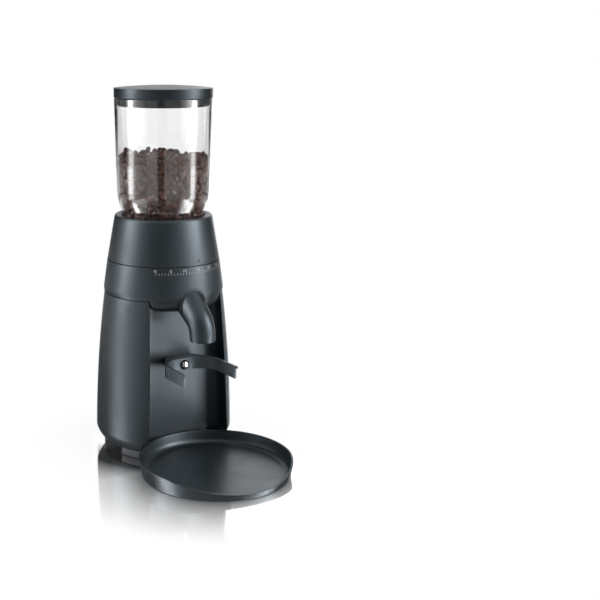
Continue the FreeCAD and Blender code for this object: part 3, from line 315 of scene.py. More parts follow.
def placed(name, data):  # a new object in the scene
    thing = bpy.data.objects.new(name, data)
    bpy.context.scene.collection.objects.link(thing)
    return thing


def onAxis(height):
    return Vector((0, axisY, height))


def turns(count):  # equal steps round a circle
    return [2 * math.pi * step / count for step in range(count)]


def curve(first, handle, last, share):  # a bend from first to last that leans towards the handle
    return first * (1 - share) ** 2 + handle * (2 * share * (1 - share)) + last * share ** 2


def between(marks, value):  # straight runs through (place, value) marks
    for (low, first), (high, last) in zip(marks, marks[1:]):
        if value <= high:
            return first + (last - first) * max(0.0, (value - low) / (high - low))
    return marks[-1][1]


def through(height, marks):  # smooth curve through three (height, radius) marks
    (a, ra), (b, rb), (c, rc) = marks
    return (ra * (height - b) * (height - c) / ((a - b) * (a - c))
            + rb * (height - a) * (height - c) / ((b - a) * (b - c))
            + rc * (height - a) * (height - b) / ((c - a) * (c - b)))


def meshPiece(name, vertices, faces, material, body, sharp=40.0):
    mesh = bpy.data.meshes.new(name)
    mesh.from_pydata(vertices, [], faces)
    mesh.validate()
    build = bmesh.new()
    build.from_mesh(mesh)
    bmesh.ops.recalc_face_normals(build, faces=build.faces)
    build.to_mesh(mesh)
    build.free()
    for face in mesh.polygons:
        face.use_smooth = True
    mesh.set_sharp_from_angle(angle=math.radians(sharp))
    mesh.materials.append(material)
    piece = placed(name, mesh)
    if body:
        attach(piece, body)
    return piece


def gridFaces(rows, count, closeRows=False, closeCount=True):  # quads between rows of equal length
    faces = []
    for row in range(rows if closeRows else rows - 1):
        here, following = row * count, (row + 1) % rows * count
        for index in range(count if closeCount else count - 1):
            after = (index + 1) % count
            faces.append((here + index, here + after, following + after, following + index))
    return faces


def endFaces(rows, count):  # the first and the last row as caps
    return [tuple(reversed(range(count))), tuple(range((rows - 1) * count, rows * count))]


def gridPiece(name, rows, material, body, node, closeRows=False, closeCount=True, caps=False,
              sharp=32.0):
    # rows of points round the burr axis, in millimetres
    vertices = [Vector(point) / 1000 + onAxis(0) for row in rows for point in row]
    faces = gridFaces(len(rows), len(rows[0]), closeRows, closeCount)
    if caps:
        faces += endFaces(len(rows), len(rows[0]))
    piece = meshPiece(name, vertices, faces, material, body, sharp)
    if node:
        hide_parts(node)
    return piece


def rounded(corners, steps=6):  # a profile whose corners (radius, height, round) are softened
    points = []
    for index, corner in enumerate(corners):
        here = Vector(corner[:2])
        if len(corner) < 3:
            points.append(here)
            continue
        before = Vector(corners[index - 1][:2]) - here
        after = Vector(corners[(index + 1) % len(corners)][:2]) - here
        reach = corner[2] / math.tan(before.angle(after) / 2)
        start = here + before.normalized() * min(reach, before.length * 0.49)
        stop = here + after.normalized() * min(reach, after.length * 0.49)
        points += [curve(start, here, stop, step / steps) for step in range(steps + 1)]
    return points


def turnedPiece(name, corners, material, body, node, solid=False):
    # corners go round the wall's section; those of a solid piece start and end on the axis
    profile = rounded(corners)
    rows = [[(point.x * math.sin(angle), -point.x * math.cos(angle), point.y) for point in profile]
            for angle in turns(144)]
    return gridPiece(name, rows, material, body, node, closeRows=True, closeCount=not solid)


lidLook = dict(radius=51.0, edge=380.6, foot=370.8, apex=383.2, inner=44.0, thick=2.4, inset=0.2, drop=0.15,
               edgeRound=0.8, footRound=0.5)


def makeLid(radius, edge, foot, apex, inner, thick, inset, drop, edgeRound, footRound):
    steps = 12
    corners = [((radius - inset) * step / steps, apex - (apex - edge) * (step / steps) ** 2)
               for step in range(steps + 1)]
    under = edge - thick
    corners += [(radius, edge - drop, edgeRound), (radius, foot, footRound), (inner, foot), (inner, under),
                (0, under)]
    turnedPiece("lidCap", corners, lidPlastic, "lid", "hopper_lid", solid=True)


hopperLook = dict(hole=26.0, foot=234.3, neck=43.3, neckTop=253.0, shoulder=48.75, shoulderTop=276.0,
                  rim=50.9, top=370.3, wall=2.3, swell=3.7, rise=10.3, floor=2.4, neckFoot=9.0, neckRound=2.0,
                  footRound=0.6, rimRound=0.7)


def makeHopper(hole, foot, neck, neckTop, shoulder, shoulderTop, rim, top, wall, swell, rise, floor, neckFoot,
               neckRound, footRound, rimRound):
    def bowl(inset):  # from the neck out to the shoulder, through the arc's middle
        steps = 14
        first = Vector((neck - inset, neckTop))
        middle = Vector((neck + swell - inset, neckTop + rise))
        last = Vector((shoulder - inset, shoulderTop))
        handle = middle * 2 - (first + last) / 2
        return [tuple(curve(first, handle, last, step / steps)) for step in range(steps + 1)]

    corners = [(hole, foot), (neck, foot, footRound)] + bowl(0.0)
    corners += [(rim, top, rimRound), (rim - wall, top, rimRound)] + list(reversed(bowl(wall)))
    corners += [(neck - wall, foot + neckFoot, neckRound), (hole, foot + floor)]
    turnedPiece("clearHopper", corners, clearHopper, "hopper", "bean_hopper")


collarLook = dict(footRadius=59.1, foot=204.6, topRadius=51.05, top=250.9, socket=43.9, shelfTop=234.0,
                  shelf=231.0, sleeve=34.2, sleeveWall=3.3, sleeveFoot=200.0, shelfInset=8.0, wall=3.0,
                  footRound=0.45, topRound=3.2, mouthRound=1.0)


def makeCollar(footRadius, foot, topRadius, top, socket, shelfTop, shelf, sleeve, sleeveWall, sleeveFoot,
               shelfInset, wall, footRound, topRound, mouthRound):
    outerSleeve = sleeve + sleeveWall
    corners = [(footRadius, foot, footRound), (topRadius, top, topRound), (socket, top, mouthRound),
               (socket, shelfTop), (sleeve, shelfTop), (sleeve, sleeveFoot), (outerSleeve, sleeveFoot),
               (outerSleeve, shelf), (footRadius - shelfInset, shelf), (footRadius - wall, foot)]
    turnedPiece("grindCollar", corners, bodyPlastic, "collar", "grind_collar")


ringLook = dict(wide=63.4, wideHeight=174.0, topRadius=59.3, top=204.0, foot=169.5, hole=38.6, wall=3.0,
                floor=3.1, taper=0.5, fillet=1.6, footRound=1.0, wideRound=0.5, topRound=0.45)


def makeRing(wide, wideHeight, topRadius, top, foot, hole, wall, floor, taper, fillet, footRound, wideRound,
             topRound):
    inner, inside = wide - wall, foot + floor
    corners = [(hole, foot), (wide - taper, foot, footRound), (wide, wideHeight, wideRound),
               (topRadius, top, topRound), (topRadius - wall, top), (inner, inside + fillet),
               (inner - fillet, inside), (hole, inside)]
    turnedPiece("scaleBand", corners, bodyPlastic, "base", "scale_ring")


# marks are (height, radius), the turns at foot and top are (radius, height)
housingLook = dict(footMark=(9.3, 66.5), bellyMark=(16.0, 71.0), creaseMark=(21.0, 72.9),
                   midMark=(95.0, 69.95), topMark=(168.5, 62.9), creaseRound=0.1, creaseTop=21.6,
                   lowHeights=(9.3, 11, 13, 15, 17, 18.99, 19, 20, 20.5),
                   footTurn=((62.6, 9.6), (62.6, 8.3), (65.5, 8.3), (66.1, 8.6)), wallFoot=22.4,
                   wallTop=168.0, topTurn=((62.75, 168.9), (62.3, 169.2), (61.5, 169.4), (60.6, 169.45)),
                   edge=2.6, recessBack=31.0, recessCorner=13.0, recessLow=48.0, recessHigh=42.0,
                   recessFoot=-1.0, recessRise=175.5, notchRadius=79.5, notchTop=19.0, trayCentre=108.5)


def makeHousing(footMark, bellyMark, creaseMark, midMark, topMark, creaseRound, creaseTop, lowHeights,
                footTurn, wallFoot, wallTop, topTurn, edge, recessBack, recessCorner, recessLow, recessHigh,
                recessFoot, recessRise, notchRadius, notchTop, trayCentre):
    wallSteps, backSteps, edgeSteps, sideSteps, cornerSteps, innerSteps = 18, 44, 8, 3, 12, 4

    def notched(x, y, height):  # keeps clear of the round tray
        if height < notchTop and y < 0 and abs(x) < notchRadius:
            y = max(y, math.sqrt(notchRadius ** 2 - x ** 2) - trayCentre)
        return (x, y, height)

    def section(radius, height):  # one level of the housing, from the back round by the right
        half = recessLow + (recessHigh - recessLow) * (height - recessFoot) / recessRise
        front = math.sqrt(radius ** 2 - half ** 2)
        start = math.atan2(half, front) + edge / radius
        points = []
        for step in range(backSteps + 1):
            angle = math.pi + (start - math.pi) * step / backSteps
            points.append((radius * math.sin(angle), -radius * math.cos(angle)))
        first, handle, last = Vector(points[-1]), Vector((half, -front)), Vector((half, edge - front))
        points += [tuple(curve(first, handle, last, step / edgeSteps)) for step in range(1, edgeSteps)]
        sideRun = front - edge - recessBack - recessCorner
        points += [(half, edge - front + sideRun * step / sideSteps) for step in range(sideSteps + 1)]
        for step in range(1, cornerSteps + 1):
            angle = math.pi / 2 * step / cornerSteps
            points.append((half - recessCorner + recessCorner * math.cos(angle),
                           -(recessBack + recessCorner) + recessCorner * math.sin(angle)))
        for step in range(1, innerSteps + 1):
            points.append(((half - recessCorner) * (1 - step / innerSteps), -recessBack))
        points += [(-x, y) for x, y in reversed(points[1:-1])]
        return [notched(x, y, height) for x, y in points]

    low, high = (footMark, bellyMark, creaseMark), (creaseMark, midMark, topMark)
    crease, creaseRadius = creaseMark
    wallRun = wallTop - wallFoot
    wallHeights = [creaseTop] + [wallFoot + wallRun * step / wallSteps for step in range(wallSteps + 1)]
    levels = list(footTurn) + [(through(height, low), height) for height in lowHeights]
    levels.append((creaseRadius - creaseRound, crease))
    levels += [(through(height, high), height) for height in wallHeights] + list(topTurn)
    rows = [section(radius, height) for radius, height in levels]
    gridPiece("housing", rows, bodyPlastic, "base", "body_shell", caps=True)


spoutLook = dict(reach=80.5, end=131.3, straight=3.7, bend=25.0, slope=40.0, run=30.2, root=14.4, tip=12.9,
                 wall=2.4, lip=1.2, spread=0.26, spreadEnd=0.65, spreadPower=1.2, spreadLow=0.35)


def makeSpout(reach, end, straight, bend, slope, run, root, tip, wall, lip, spread, spreadEnd, spreadPower,
              spreadLow):
    steps, lipSteps = 30, 6
    turn = math.pi / 2 - math.radians(slope)
    arc = bend * turn

    def line(share):  # centre and direction along the spout, 0 at its root and 1 at its outlet
        travel = share * (run + arc + straight)
        if travel > run + arc:
            return Vector((0, -reach, end + run + arc + straight - travel)), Vector((0, 0, -1))
        angle = turn - max(0.0, travel - run) / bend
        centre = Vector((0, bend - reach, end + straight))
        way = Vector((0, -math.sin(angle), -math.cos(angle)))
        place = centre + Vector((0, -math.cos(angle), math.sin(angle))) * bend
        return place - way * max(0.0, run - travel), way

    def hoop(share, radius, forward=0.0):
        place, way = line(share)
        side = Vector((1, 0, 0))
        over = side.cross(way)
        flare = spread * max(0.0, 1 - share / spreadEnd) ** spreadPower
        return [place + way * forward + (side * math.cos(angle) + over * math.sin(angle)) * radius
                * (1 + flare * max(0.0, spreadLow + (1 - spreadLow) * math.sin(angle)))
                for angle in turns(64)]

    def girth(share):
        return root + (tip - root) * share

    rows = [hoop(step / steps, girth(step / steps)) for step in range(steps)]
    for step in range(lipSteps + 1):
        angle = math.pi * step / lipSteps
        rows.append(hoop(1.0, tip - lip + lip * math.cos(angle), lip * (math.sin(angle) - 1.0)))
    rows += [hoop(1 - step / steps, girth(1 - step / steps) - wall) for step in range(2, steps + 1)]
    gridPiece("elbowSpout", rows, bodyPlastic, "base", "spout", closeRows=True)
    return line(0.0)


archLook = dict(radius=15.1, thick=0.75, flat=0.8, fromTurn=-6.0, toTurn=186.0, nearest=-40.0, farthest=30.0)


def makeArch(root, way, radius, thick, flat, fromTurn, toTurn, nearest, farthest):
    # raised rim where the spout leaves the band
    steps, halvings = 48, 40
    wide, wideHeight = ringLook["wide"], ringLook["wideHeight"]
    taper = (ringLook["topRadius"] - wide) / (ringLook["top"] - wideHeight)
    back, side = -way, Vector((1, 0, 0))
    over = side.cross(back)
    line = []
    for step in range(steps + 1):
        turn = math.radians(fromTurn + (toTurn - fromTurn) * step / steps)
        ray = (side * math.cos(turn) + over * math.sin(turn)) * radius
        low, high = nearest, farthest
        for halving in range(halvings):  # closes in on where the ray meets the band
            middle = (low + high) / 2
            point = root + back * middle + ray
            if math.hypot(point.x, point.y) < wide + taper * (point.z - wideHeight):
                high = middle
            else:
                low = middle
        line.append(root + back * high + ray)
    rows = []
    for index, point in enumerate(line):
        along = (line[min(index + 1, steps)] - line[max(index - 1, 0)]).normalized()
        out = Vector((point.x, point.y, 0)).normalized()
        out = (out - along * out.dot(along)).normalized()
        across = along.cross(out)
        rows.append([point + (out * math.cos(turn) * flat + across * math.sin(turn)) * thick
                     for turn in turns(10)])
    gridPiece("spoutArch", rows, bodyPlastic, "base", None, caps=True, sharp=40.0)


chinLook = dict(centre=32.0, top=169.45, depth=14.6, ring=62.2, half=41.6, power=2.7, sweep=92.0)


def makeChin(centre, top, depth, ring, half, power, sweep):  # smooth run from the band's foot to the spout
    steps, levels = 48, 16
    rows = []
    for step in range(steps + 1):
        turn = math.radians(sweep * (2 * step / steps - 1))
        across = abs(math.sin(turn))
        reach = math.sqrt(ring ** 2 - (centre * across) ** 2) - centre * math.cos(turn)
        reach = min(reach, half / max(across, 0.05))
        row = [(0.0, -centre, top)]
        for level in range(levels + 1):
            sink = math.sin(math.pi / 2 * level / levels)
            radius = reach * max(0.0, 1 - sink ** power) ** (1 / power)
            row.append((radius * math.sin(turn), -centre - radius * math.cos(turn), top - depth * sink))
        rows.append(row)
    gridPiece("chinBowl", rows, bodyPlastic, "base", None, closeCount=False, caps=True,
              sharp=50.0)


buttonLook = dict(level=97.0, tip=48.4, radius=4.0, dome=2.2, flangeFront=27.5, flange=6.4, flangeThick=2.0,
                  tail=2.4, tailEnd=15.5, point=0.01)


def makeButton(level, tip, radius, dome, flangeFront, flange, flangeThick, tail, tailEnd, point):
    # domed cap, guide flange and tail, turned on its own axis
    steps = 10
    flangeBack = flangeFront - flangeThick
    bends = [math.pi / 2 * step / steps for step in range(steps + 1)]
    profile = [(radius * math.sin(bend), tip - dome * (1 - math.cos(bend))) for bend in bends]
    profile += [(radius, flangeFront), (flange, flangeFront), (flange, flangeBack), (tail, flangeBack),
                (tail, tailEnd), (0.0, tailEnd)]
    rows = [[(max(reach, point) * math.cos(turn), -ahead, level + max(reach, point) * math.sin(turn))
             for turn in turns(48)] for reach, ahead in profile]
    gridPiece("startButton", rows, buttonChrome, "button", "start_button", caps=True,
              sharp=40.0)


springLook = dict(level=97.0, front=25.45, back=12.55, coil=3.9, wire=0.4, coils=6)


def makeSpring(level, front, back, coil, wire, coils):  # a coil of fixed length behind the button's flange
    perCoil = 24
    steps = coils * perCoil
    first, last = wire - front, -back - wire
    rows = []
    for step in range(steps + 1):
        turn = 2 * math.pi * step / perCoil
        out = Vector((math.cos(turn), 0, math.sin(turn)))
        centre = out * coil + Vector((0, first + (last - first) * step / steps, level))
        rows.append([centre + (out * math.cos(angle) + Vector((0, math.sin(angle), 0))) * wire
                     for angle in turns(10)])
    piece = gridPiece("buttonSpring", rows, shaftSteel, None, "button_spring", caps=True)
    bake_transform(piece)


trayLook = dict(centre=108.5, radius=78.8, footRadius=76.0, height=16.7, wall=2.2, floor=3.0, soft=8.0,
                footRound=1.2, rimRound=1.05, lipStart=24.5, lipBend=24.0, lipDrop=3.7, lipPower=1.32,
                lipEnd=5.6, lipMargin=1.0)


def makeTray(centre, radius, footRadius, height, wall, floor, soft, footRound, rimRound, lipStart, lipBend,
             lipDrop, lipPower, lipEnd, lipMargin):
    bendEnd = lipStart + lipBend
    slope = (radius - footRadius) / height
    profile = rounded([(0, 0), (footRadius, 0, footRound), (radius, height, rimRound),
                       (radius - wall, height, rimRound), (footRadius - wall, floor, soft), (0, floor)], 10)

    def rimHeight(ahead):  # lowered towards the front, in a bend and then a straight run
        if ahead <= lipStart:
            return height
        if ahead <= bendEnd:
            return height - lipDrop * ((ahead - lipStart) / lipBend) ** lipPower
        share = (ahead - bendEnd) / (radius + lipMargin - bendEnd)
        return height - lipDrop + (lipEnd - height + lipDrop) * share

    rows = []
    for angle in turns(160):
        top = rimHeight(radius * math.cos(angle))
        row = []
        for point in profile:
            level = point.y
            if level > floor:
                level = floor + (level - floor) * (top - floor) / (height - floor)
            reach = point.x - slope * (point.y - level)
            row.append((reach * math.sin(angle), -centre - reach * math.cos(angle), level))
        rows.append(row)
    gridPiece("groundsTray", rows, trayPlastic, "tray", "grounds_tray", closeRows=True,
              closeCount=False)


softLook = dict(segments=3, corner=32.0, flat=1.0, weld=1e-6)


def softened(name, node, body, material, width, slot, segments, corner, flat, weld):
    # a moulded node with its edges broken
    mesh = nodes[node].data.copy()
    build = bmesh.new()
    build.from_mesh(mesh)
    bmesh.ops.remove_doubles(build, verts=build.verts, dist=weld)
    bmesh.ops.dissolve_limit(build, angle_limit=math.radians(flat), verts=build.verts, edges=build.edges)
    build.to_mesh(mesh)
    build.free()
    mesh.name = name
    mesh.materials.clear()
    mesh.materials.append(material)
    for face in mesh.polygons:
        face.use_smooth = True
    piece = placed(name, mesh)
    bevel = piece.modifiers.new("brokenEdges", "BEVEL")
    bevel.width = width
    bevel.segments = segments
    bevel.limit_method = "ANGLE"
    bevel.angle_limit = math.radians(corner)
    bevel.harden_normals = True
    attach(piece, body)
    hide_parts(node)


makeLid(**lidLook)
makeHopper(**hopperLook)
makeCollar(**collarLook)
makeRing(**ringLook)
makeHousing(**housingLook)
spoutRoot, spoutWay = makeSpout(**spoutLook)
makeArch(spoutRoot, spoutWay, **archLook)
makeChin(**chinLook)
makeButton(**buttonLook)
makeSpring(**springLook)
makeTray(**trayLook)
softened("portafilterFork", "portafilter_holder", "holder", forkPlastic, 0.0006, "body_plastic", **softLook)
softened("footPads", "feet", "base", footRubber, 0.0008, "foot_rubber", **softLook)
print("lid, hopper, collar, band, housing, spout, button, tray, fork and feet shaped")


def onRound(radius, angle, height):  # a point round the burr axis, turned from the front to the right
    return Vector((radius * math.sin(angle), axisY - radius * math.cos(angle), height))


def onCone(cone, degrees, height, proud=0.0):  # a point on a tapered band, degrees to the right of the front
    (lowRadius, lowHeight), (highRadius, highHeight) = cone
    share = (height - lowHeight) / (highHeight - lowHeight)
    return onRound(lowRadius + (highRadius - lowRadius) * share + proud, math.radians(degrees), height)


# scale on the band's taper: a tick for each step, a long one with its number at each fifth
scaleLook = dict(cone=((0.0634, 0.174), (0.0593, 0.204)), zero=-36.7, step=3.0, steps=40, longEvery=5,
                 foot=0.1967, longTop=0.2024, shortTop=0.1989, width=0.00042, proud=0.00006,
                 numberHeight=0.0026, figure=0.7)


def numberForm(word, size):  # flat corners and faces of a number
    words = bpy.data.curves.new("numberWords", "FONT")
    words.body = word
    words.size = size
    words.resolution_u = 3
    holder = placed("numberHolder", words)
    bpy.context.view_layer.update()
    flat = bpy.data.meshes.new_from_object(holder.evaluated_get(bpy.context.evaluated_depsgraph_get()))
    bpy.data.objects.remove(holder)
    bpy.data.curves.remove(words)
    corners = [corner.co.copy() for corner in flat.vertices]
    faces = [tuple(face.vertices) for face in flat.polygons]
    bpy.data.meshes.remove(flat)
    return corners, faces


def makeScale(cone, zero, step, steps, longEvery, foot, longTop, shortTop, width, proud, numberHeight,
              figure):
    radius = cone[1][0]
    half = math.degrees(width / 2 / radius)
    ticks, tickFaces, numbers, numberFaces = [], [], [], []
    for count in range(steps + 1):
        degrees = zero + step * count
        top = longTop if count % longEvery == 0 else shortTop
        tickFaces.append(tuple(range(len(ticks), len(ticks) + 4)))
        ticks += [onCone(cone, degrees + side * half, height, proud)
                  for side, height in ((-1, foot), (1, foot), (1, top), (-1, top))]
        if count % longEvery:
            continue
        corners, faces = numberForm(str(count), numberHeight / figure)
        start = degrees - math.degrees((max(corner.x for corner in corners) + width) / radius)
        numberFaces += [tuple(len(numbers) + index for index in face) for face in faces]
        numbers += [onCone(cone, start + math.degrees(corner.x / radius), longTop - numberHeight + corner.y,
                           proud) for corner in corners]
    meshPiece("scaleTicks", ticks, tickFaces, scalePrint, "base")
    meshPiece("scaleNumbers", numbers, numberFaces, scalePrint, "base")


# setting mark on the collar
markLook = dict(cone=((0.0591, 0.2046), (0.0514, 0.2479)), degrees=8.5, height=0.2090, radius=0.0011,
                proud=0.00008, dome=0.0002)


def makeMark(cone, degrees, height, radius, proud, dome):
    corners = 20
    vertices = [onCone(cone, degrees + math.degrees(radius * math.cos(turn) / cone[0][0]),
                       height + radius * math.sin(turn), proud) for turn in turns(corners)]
    vertices.append(onCone(cone, degrees, height, dome))
    faces = [(corner, (corner + 1) % corners, corners) for corner in range(corners)]
    meshPiece("settingMark", vertices, faces, markInk, "collar")


makeScale(**scaleLook)
makeMark(**markLook)
print("scale, numbers and setting mark made")


def roastedBean():  # dark roast with a dry crease and an oily sheen
    finish = Finish("roastedBean", Coat_Roughness=0.25, Specular_IOR_Level=0.28)
    each = finish.add("ShaderNodeNewGeometry", output="Random Per Island")
    skin = finish.noise(700.0, 4.0, 0.6)
    roast = finish.blend(each, rgb(0.018, 0.0056, 0.0031), rgb(0.082, 0.0280, 0.0155))
    finish.set("Base Color", finish.blend(finish.span(skin, 0.35, 0.75), roast, rgb(0.036, 0.0120, 0.0068)))
    finish.set("Roughness", 0.38 + (skin - 0.5) * 0.25)
    finish.set("Coat Weight", finish.span(each, 0.0, 1.0, 0.0, 0.18))
    finish.bump(skin, 0.45, 0.0003)
    return finish.material


beanSkin = roastedBean()
beanLook = dict(length=0.0086, width=0.0063, thick=0.0044, belly=1.15, flat=0.72, crease=0.7, creaseWidth=0.3)
# inner wall of the hopper as (height, radius)
insideMarks = ((0.2434, 0.0410), (0.2530, 0.0410), (0.2566, 0.0424), (0.2629, 0.0447), (0.2693, 0.0459),
               (0.2760, 0.04645), (0.3703, 0.0486))
pourLook = dict(seed=11, foot=0.2455, top=0.3118, slope=0.0012, ripple=0.0012, dip=0.003, brim=0.047,
                pitch=0.0062, rise=0.0051, wallGap=0.0035, topReach=0.0415, topPitch=0.0072, topStep=0.0062,
                topSink=0.003)
heapLook = dict(seed=12, foot=pourLook["foot"], top=0.3048, wallGap=0.0052, lump=0.0016)


def beanForm(length, width, thick, belly, flat, crease, creaseWidth):
    # round back, flatter face with its crease
    rings, around = 8, 12
    points = []
    for ring in range(rings + 1):
        along = math.pi * ring / rings
        for turn in turns(around):
            x = math.cos(along) * length / 2
            y = math.sin(along) * math.cos(turn) * width / 2
            z = math.sin(along) * math.sin(turn) * thick / 2 * belly
            if z < 0:
                z *= flat
                z *= 1 - crease * math.exp(-(math.cos(turn) / creaseWidth) ** 2)
            points.append(Vector((x, y, z)))
    return points, gridFaces(rings + 1, around)


def makeBeans(seed, foot, top, slope, ripple, dip, brim, pitch, rise, wallGap, topReach, topPitch, topStep,
              topSink):
    dice = random.Random(seed)
    form, formFaces = beanForm(**beanLook)
    vertices, faces = [], []

    def drop(place, outward, spread, wall):
        tilt = Matrix.Rotation(dice.uniform(-spread, spread), 3, "X") @ Matrix.Rotation(
            dice.uniform(-spread, spread), 3, "Y")
        spin = Matrix.Rotation(dice.uniform(0, 2 * math.pi), 3, "Z")
        flip = Matrix.Rotation(math.pi if dice.random() < 0.55 else 0.0, 3, "X")
        turn = outward.to_track_quat("Z", "Y").to_matrix() @ tilt @ spin @ flip
        size = dice.uniform(0.84, 1.1)
        corners = [place + turn @ (corner * size) for corner in form]
        room = min(between(insideMarks, corner.z) - math.hypot(corner.x, corner.y - axisY)
                   for corner in corners)
        if wall or room < 0.0003:  # against the wall
            push = Vector((place.x, place.y - axisY, 0)).normalized() * (room - 0.0002)
            corners = [corner + push for corner in corners]
        faces.extend(tuple(len(vertices) + index for index in face) for face in formFaces)
        vertices.extend(corners)

    def surface(angle, radius):  # the uneven top of what was poured in
        return (top + slope * math.sin(angle * 2 + 0.6) * radius / brim
                + ripple * math.sin(angle * 5 + 1.1) - dip * (1 - radius / brim))

    height = foot + 0.002
    row = 0
    while height < top + 0.006:  # rows of beans along the wall
        count = int(2 * math.pi * (between(insideMarks, height) - 0.003) / pitch)
        for index in range(count):
            angle = math.radians(360 * (index + 0.5 * (row % 2) + dice.uniform(-0.28, 0.28)) / count)
            level = height + dice.uniform(-0.0018, 0.0018)
            radius = between(insideMarks, level) - wallGap
            if level > surface(angle, radius) - 0.001:
                continue
            outward = Vector((math.sin(angle), -math.cos(angle), dice.uniform(-0.3, 0.4)))
            drop(onRound(radius, angle, level), outward, 0.55, True)
        height += rise
        row += 1
    reach = 0.0
    while reach < topReach:  # rings of beans on top
        count = max(1, int(2 * math.pi * reach / topPitch))
        for index in range(count):
            angle = math.radians(360 * (index + dice.uniform(-0.25, 0.25)) / count)
            level = surface(angle, reach) - topSink + dice.uniform(-0.0012, 0.0012)
            outward = Vector((dice.uniform(-0.3, 0.3), dice.uniform(-0.3, 0.3), 1.0))
            drop(onRound(reach, angle, level), outward, 0.5, False)
        reach += topStep
    meshPiece("roastedBeans", vertices, faces, beanSkin, "hopper", 60.0)


def makeBeanHeap(seed, foot, top, wallGap, lump):  # what lies behind the outer beans, as one lumpy mass
    dice = random.Random(seed)
    rings, around = 20, 60
    vertices = []
    for ring in range(rings + 1):
        height = foot + (top - foot) * ring / rings
        for angle in turns(around):
            radius = between(insideMarks, height) - wallGap - dice.uniform(0.0, lump)
            vertices.append(onAxis(height) + Vector((math.cos(angle), math.sin(angle), 0)) * radius)
    faces = gridFaces(rings + 1, around) + endFaces(rings + 1, around)
    meshPiece("beanHeap", vertices, faces, beanSkin, "hopper", 80.0)


makeBeans(**pourLook)
makeBeanHeap(**heapLook)
print("beans poured")

# camera fitted to the round edges of the object: 600 by 600, frame centre right of the object
cameraLook = dict(turn=29.5, pitch=13.45, distance=1.136, aside=0.00063, height=0.4289, lens=65.47,
                  shift=0.22667)


def makeCamera(turn, pitch, distance, aside, height, lens, shift):
    angle = math.radians(turn)
    away = Vector((-math.sin(angle), -math.cos(angle), 0))
    right = Vector((math.cos(angle), -math.sin(angle), 0))
    view = bpy.data.cameras.new("studioCamera")
    view.sensor_width = 36.0
    view.lens = lens
    view.shift_x = shift
    camera = placed("studioCamera", view)
    camera.location = onAxis(height) + away * distance + right * aside
    camera.rotation_euler = (math.radians(90 - pitch), 0, -angle)
    bpy.context.scene.camera = camera
    return away, right


away, right = makeCamera(**cameraLook)


def towards(degrees):  # level direction, degrees to the right of the camera as seen from the burr axis
    turn = math.radians(degrees)
    return away * math.cos(turn) + right * math.sin(turn)


# soft lamps light the object; what gloss shows of them are the sheets below
lampLook = {
    "leftKey": dict(turn=-66.0, distance=1.15, height=0.62, aim=0.3, size=(0.5, 1.2), power=8.0),
    "rightKey": dict(turn=62.0, distance=1.15, height=0.62, aim=0.3, size=(0.5, 1.2), power=6.0),
    "overhead": dict(turn=150.0, distance=0.35, height=1.25, aim=0.1, size=(1.1, 0.8), power=11.0),
}


def makeLamp(name, turn, distance, height, aim, size, power):
    lamp = bpy.data.lights.new(name, "AREA")
    lamp.shape = "RECTANGLE"
    lamp.size, lamp.size_y = size
    lamp.energy = power
    holder = placed(name, lamp)
    holder.location = onAxis(height) + towards(turn) * distance
    holder.rotation_euler = (onAxis(aim) - holder.location).to_track_quat("-Z", "Y").to_euler()
    holder.visible_glossy = False
    holder.visible_transmission = False


for name, look in lampLook.items():
    makeLamp(name, **look)

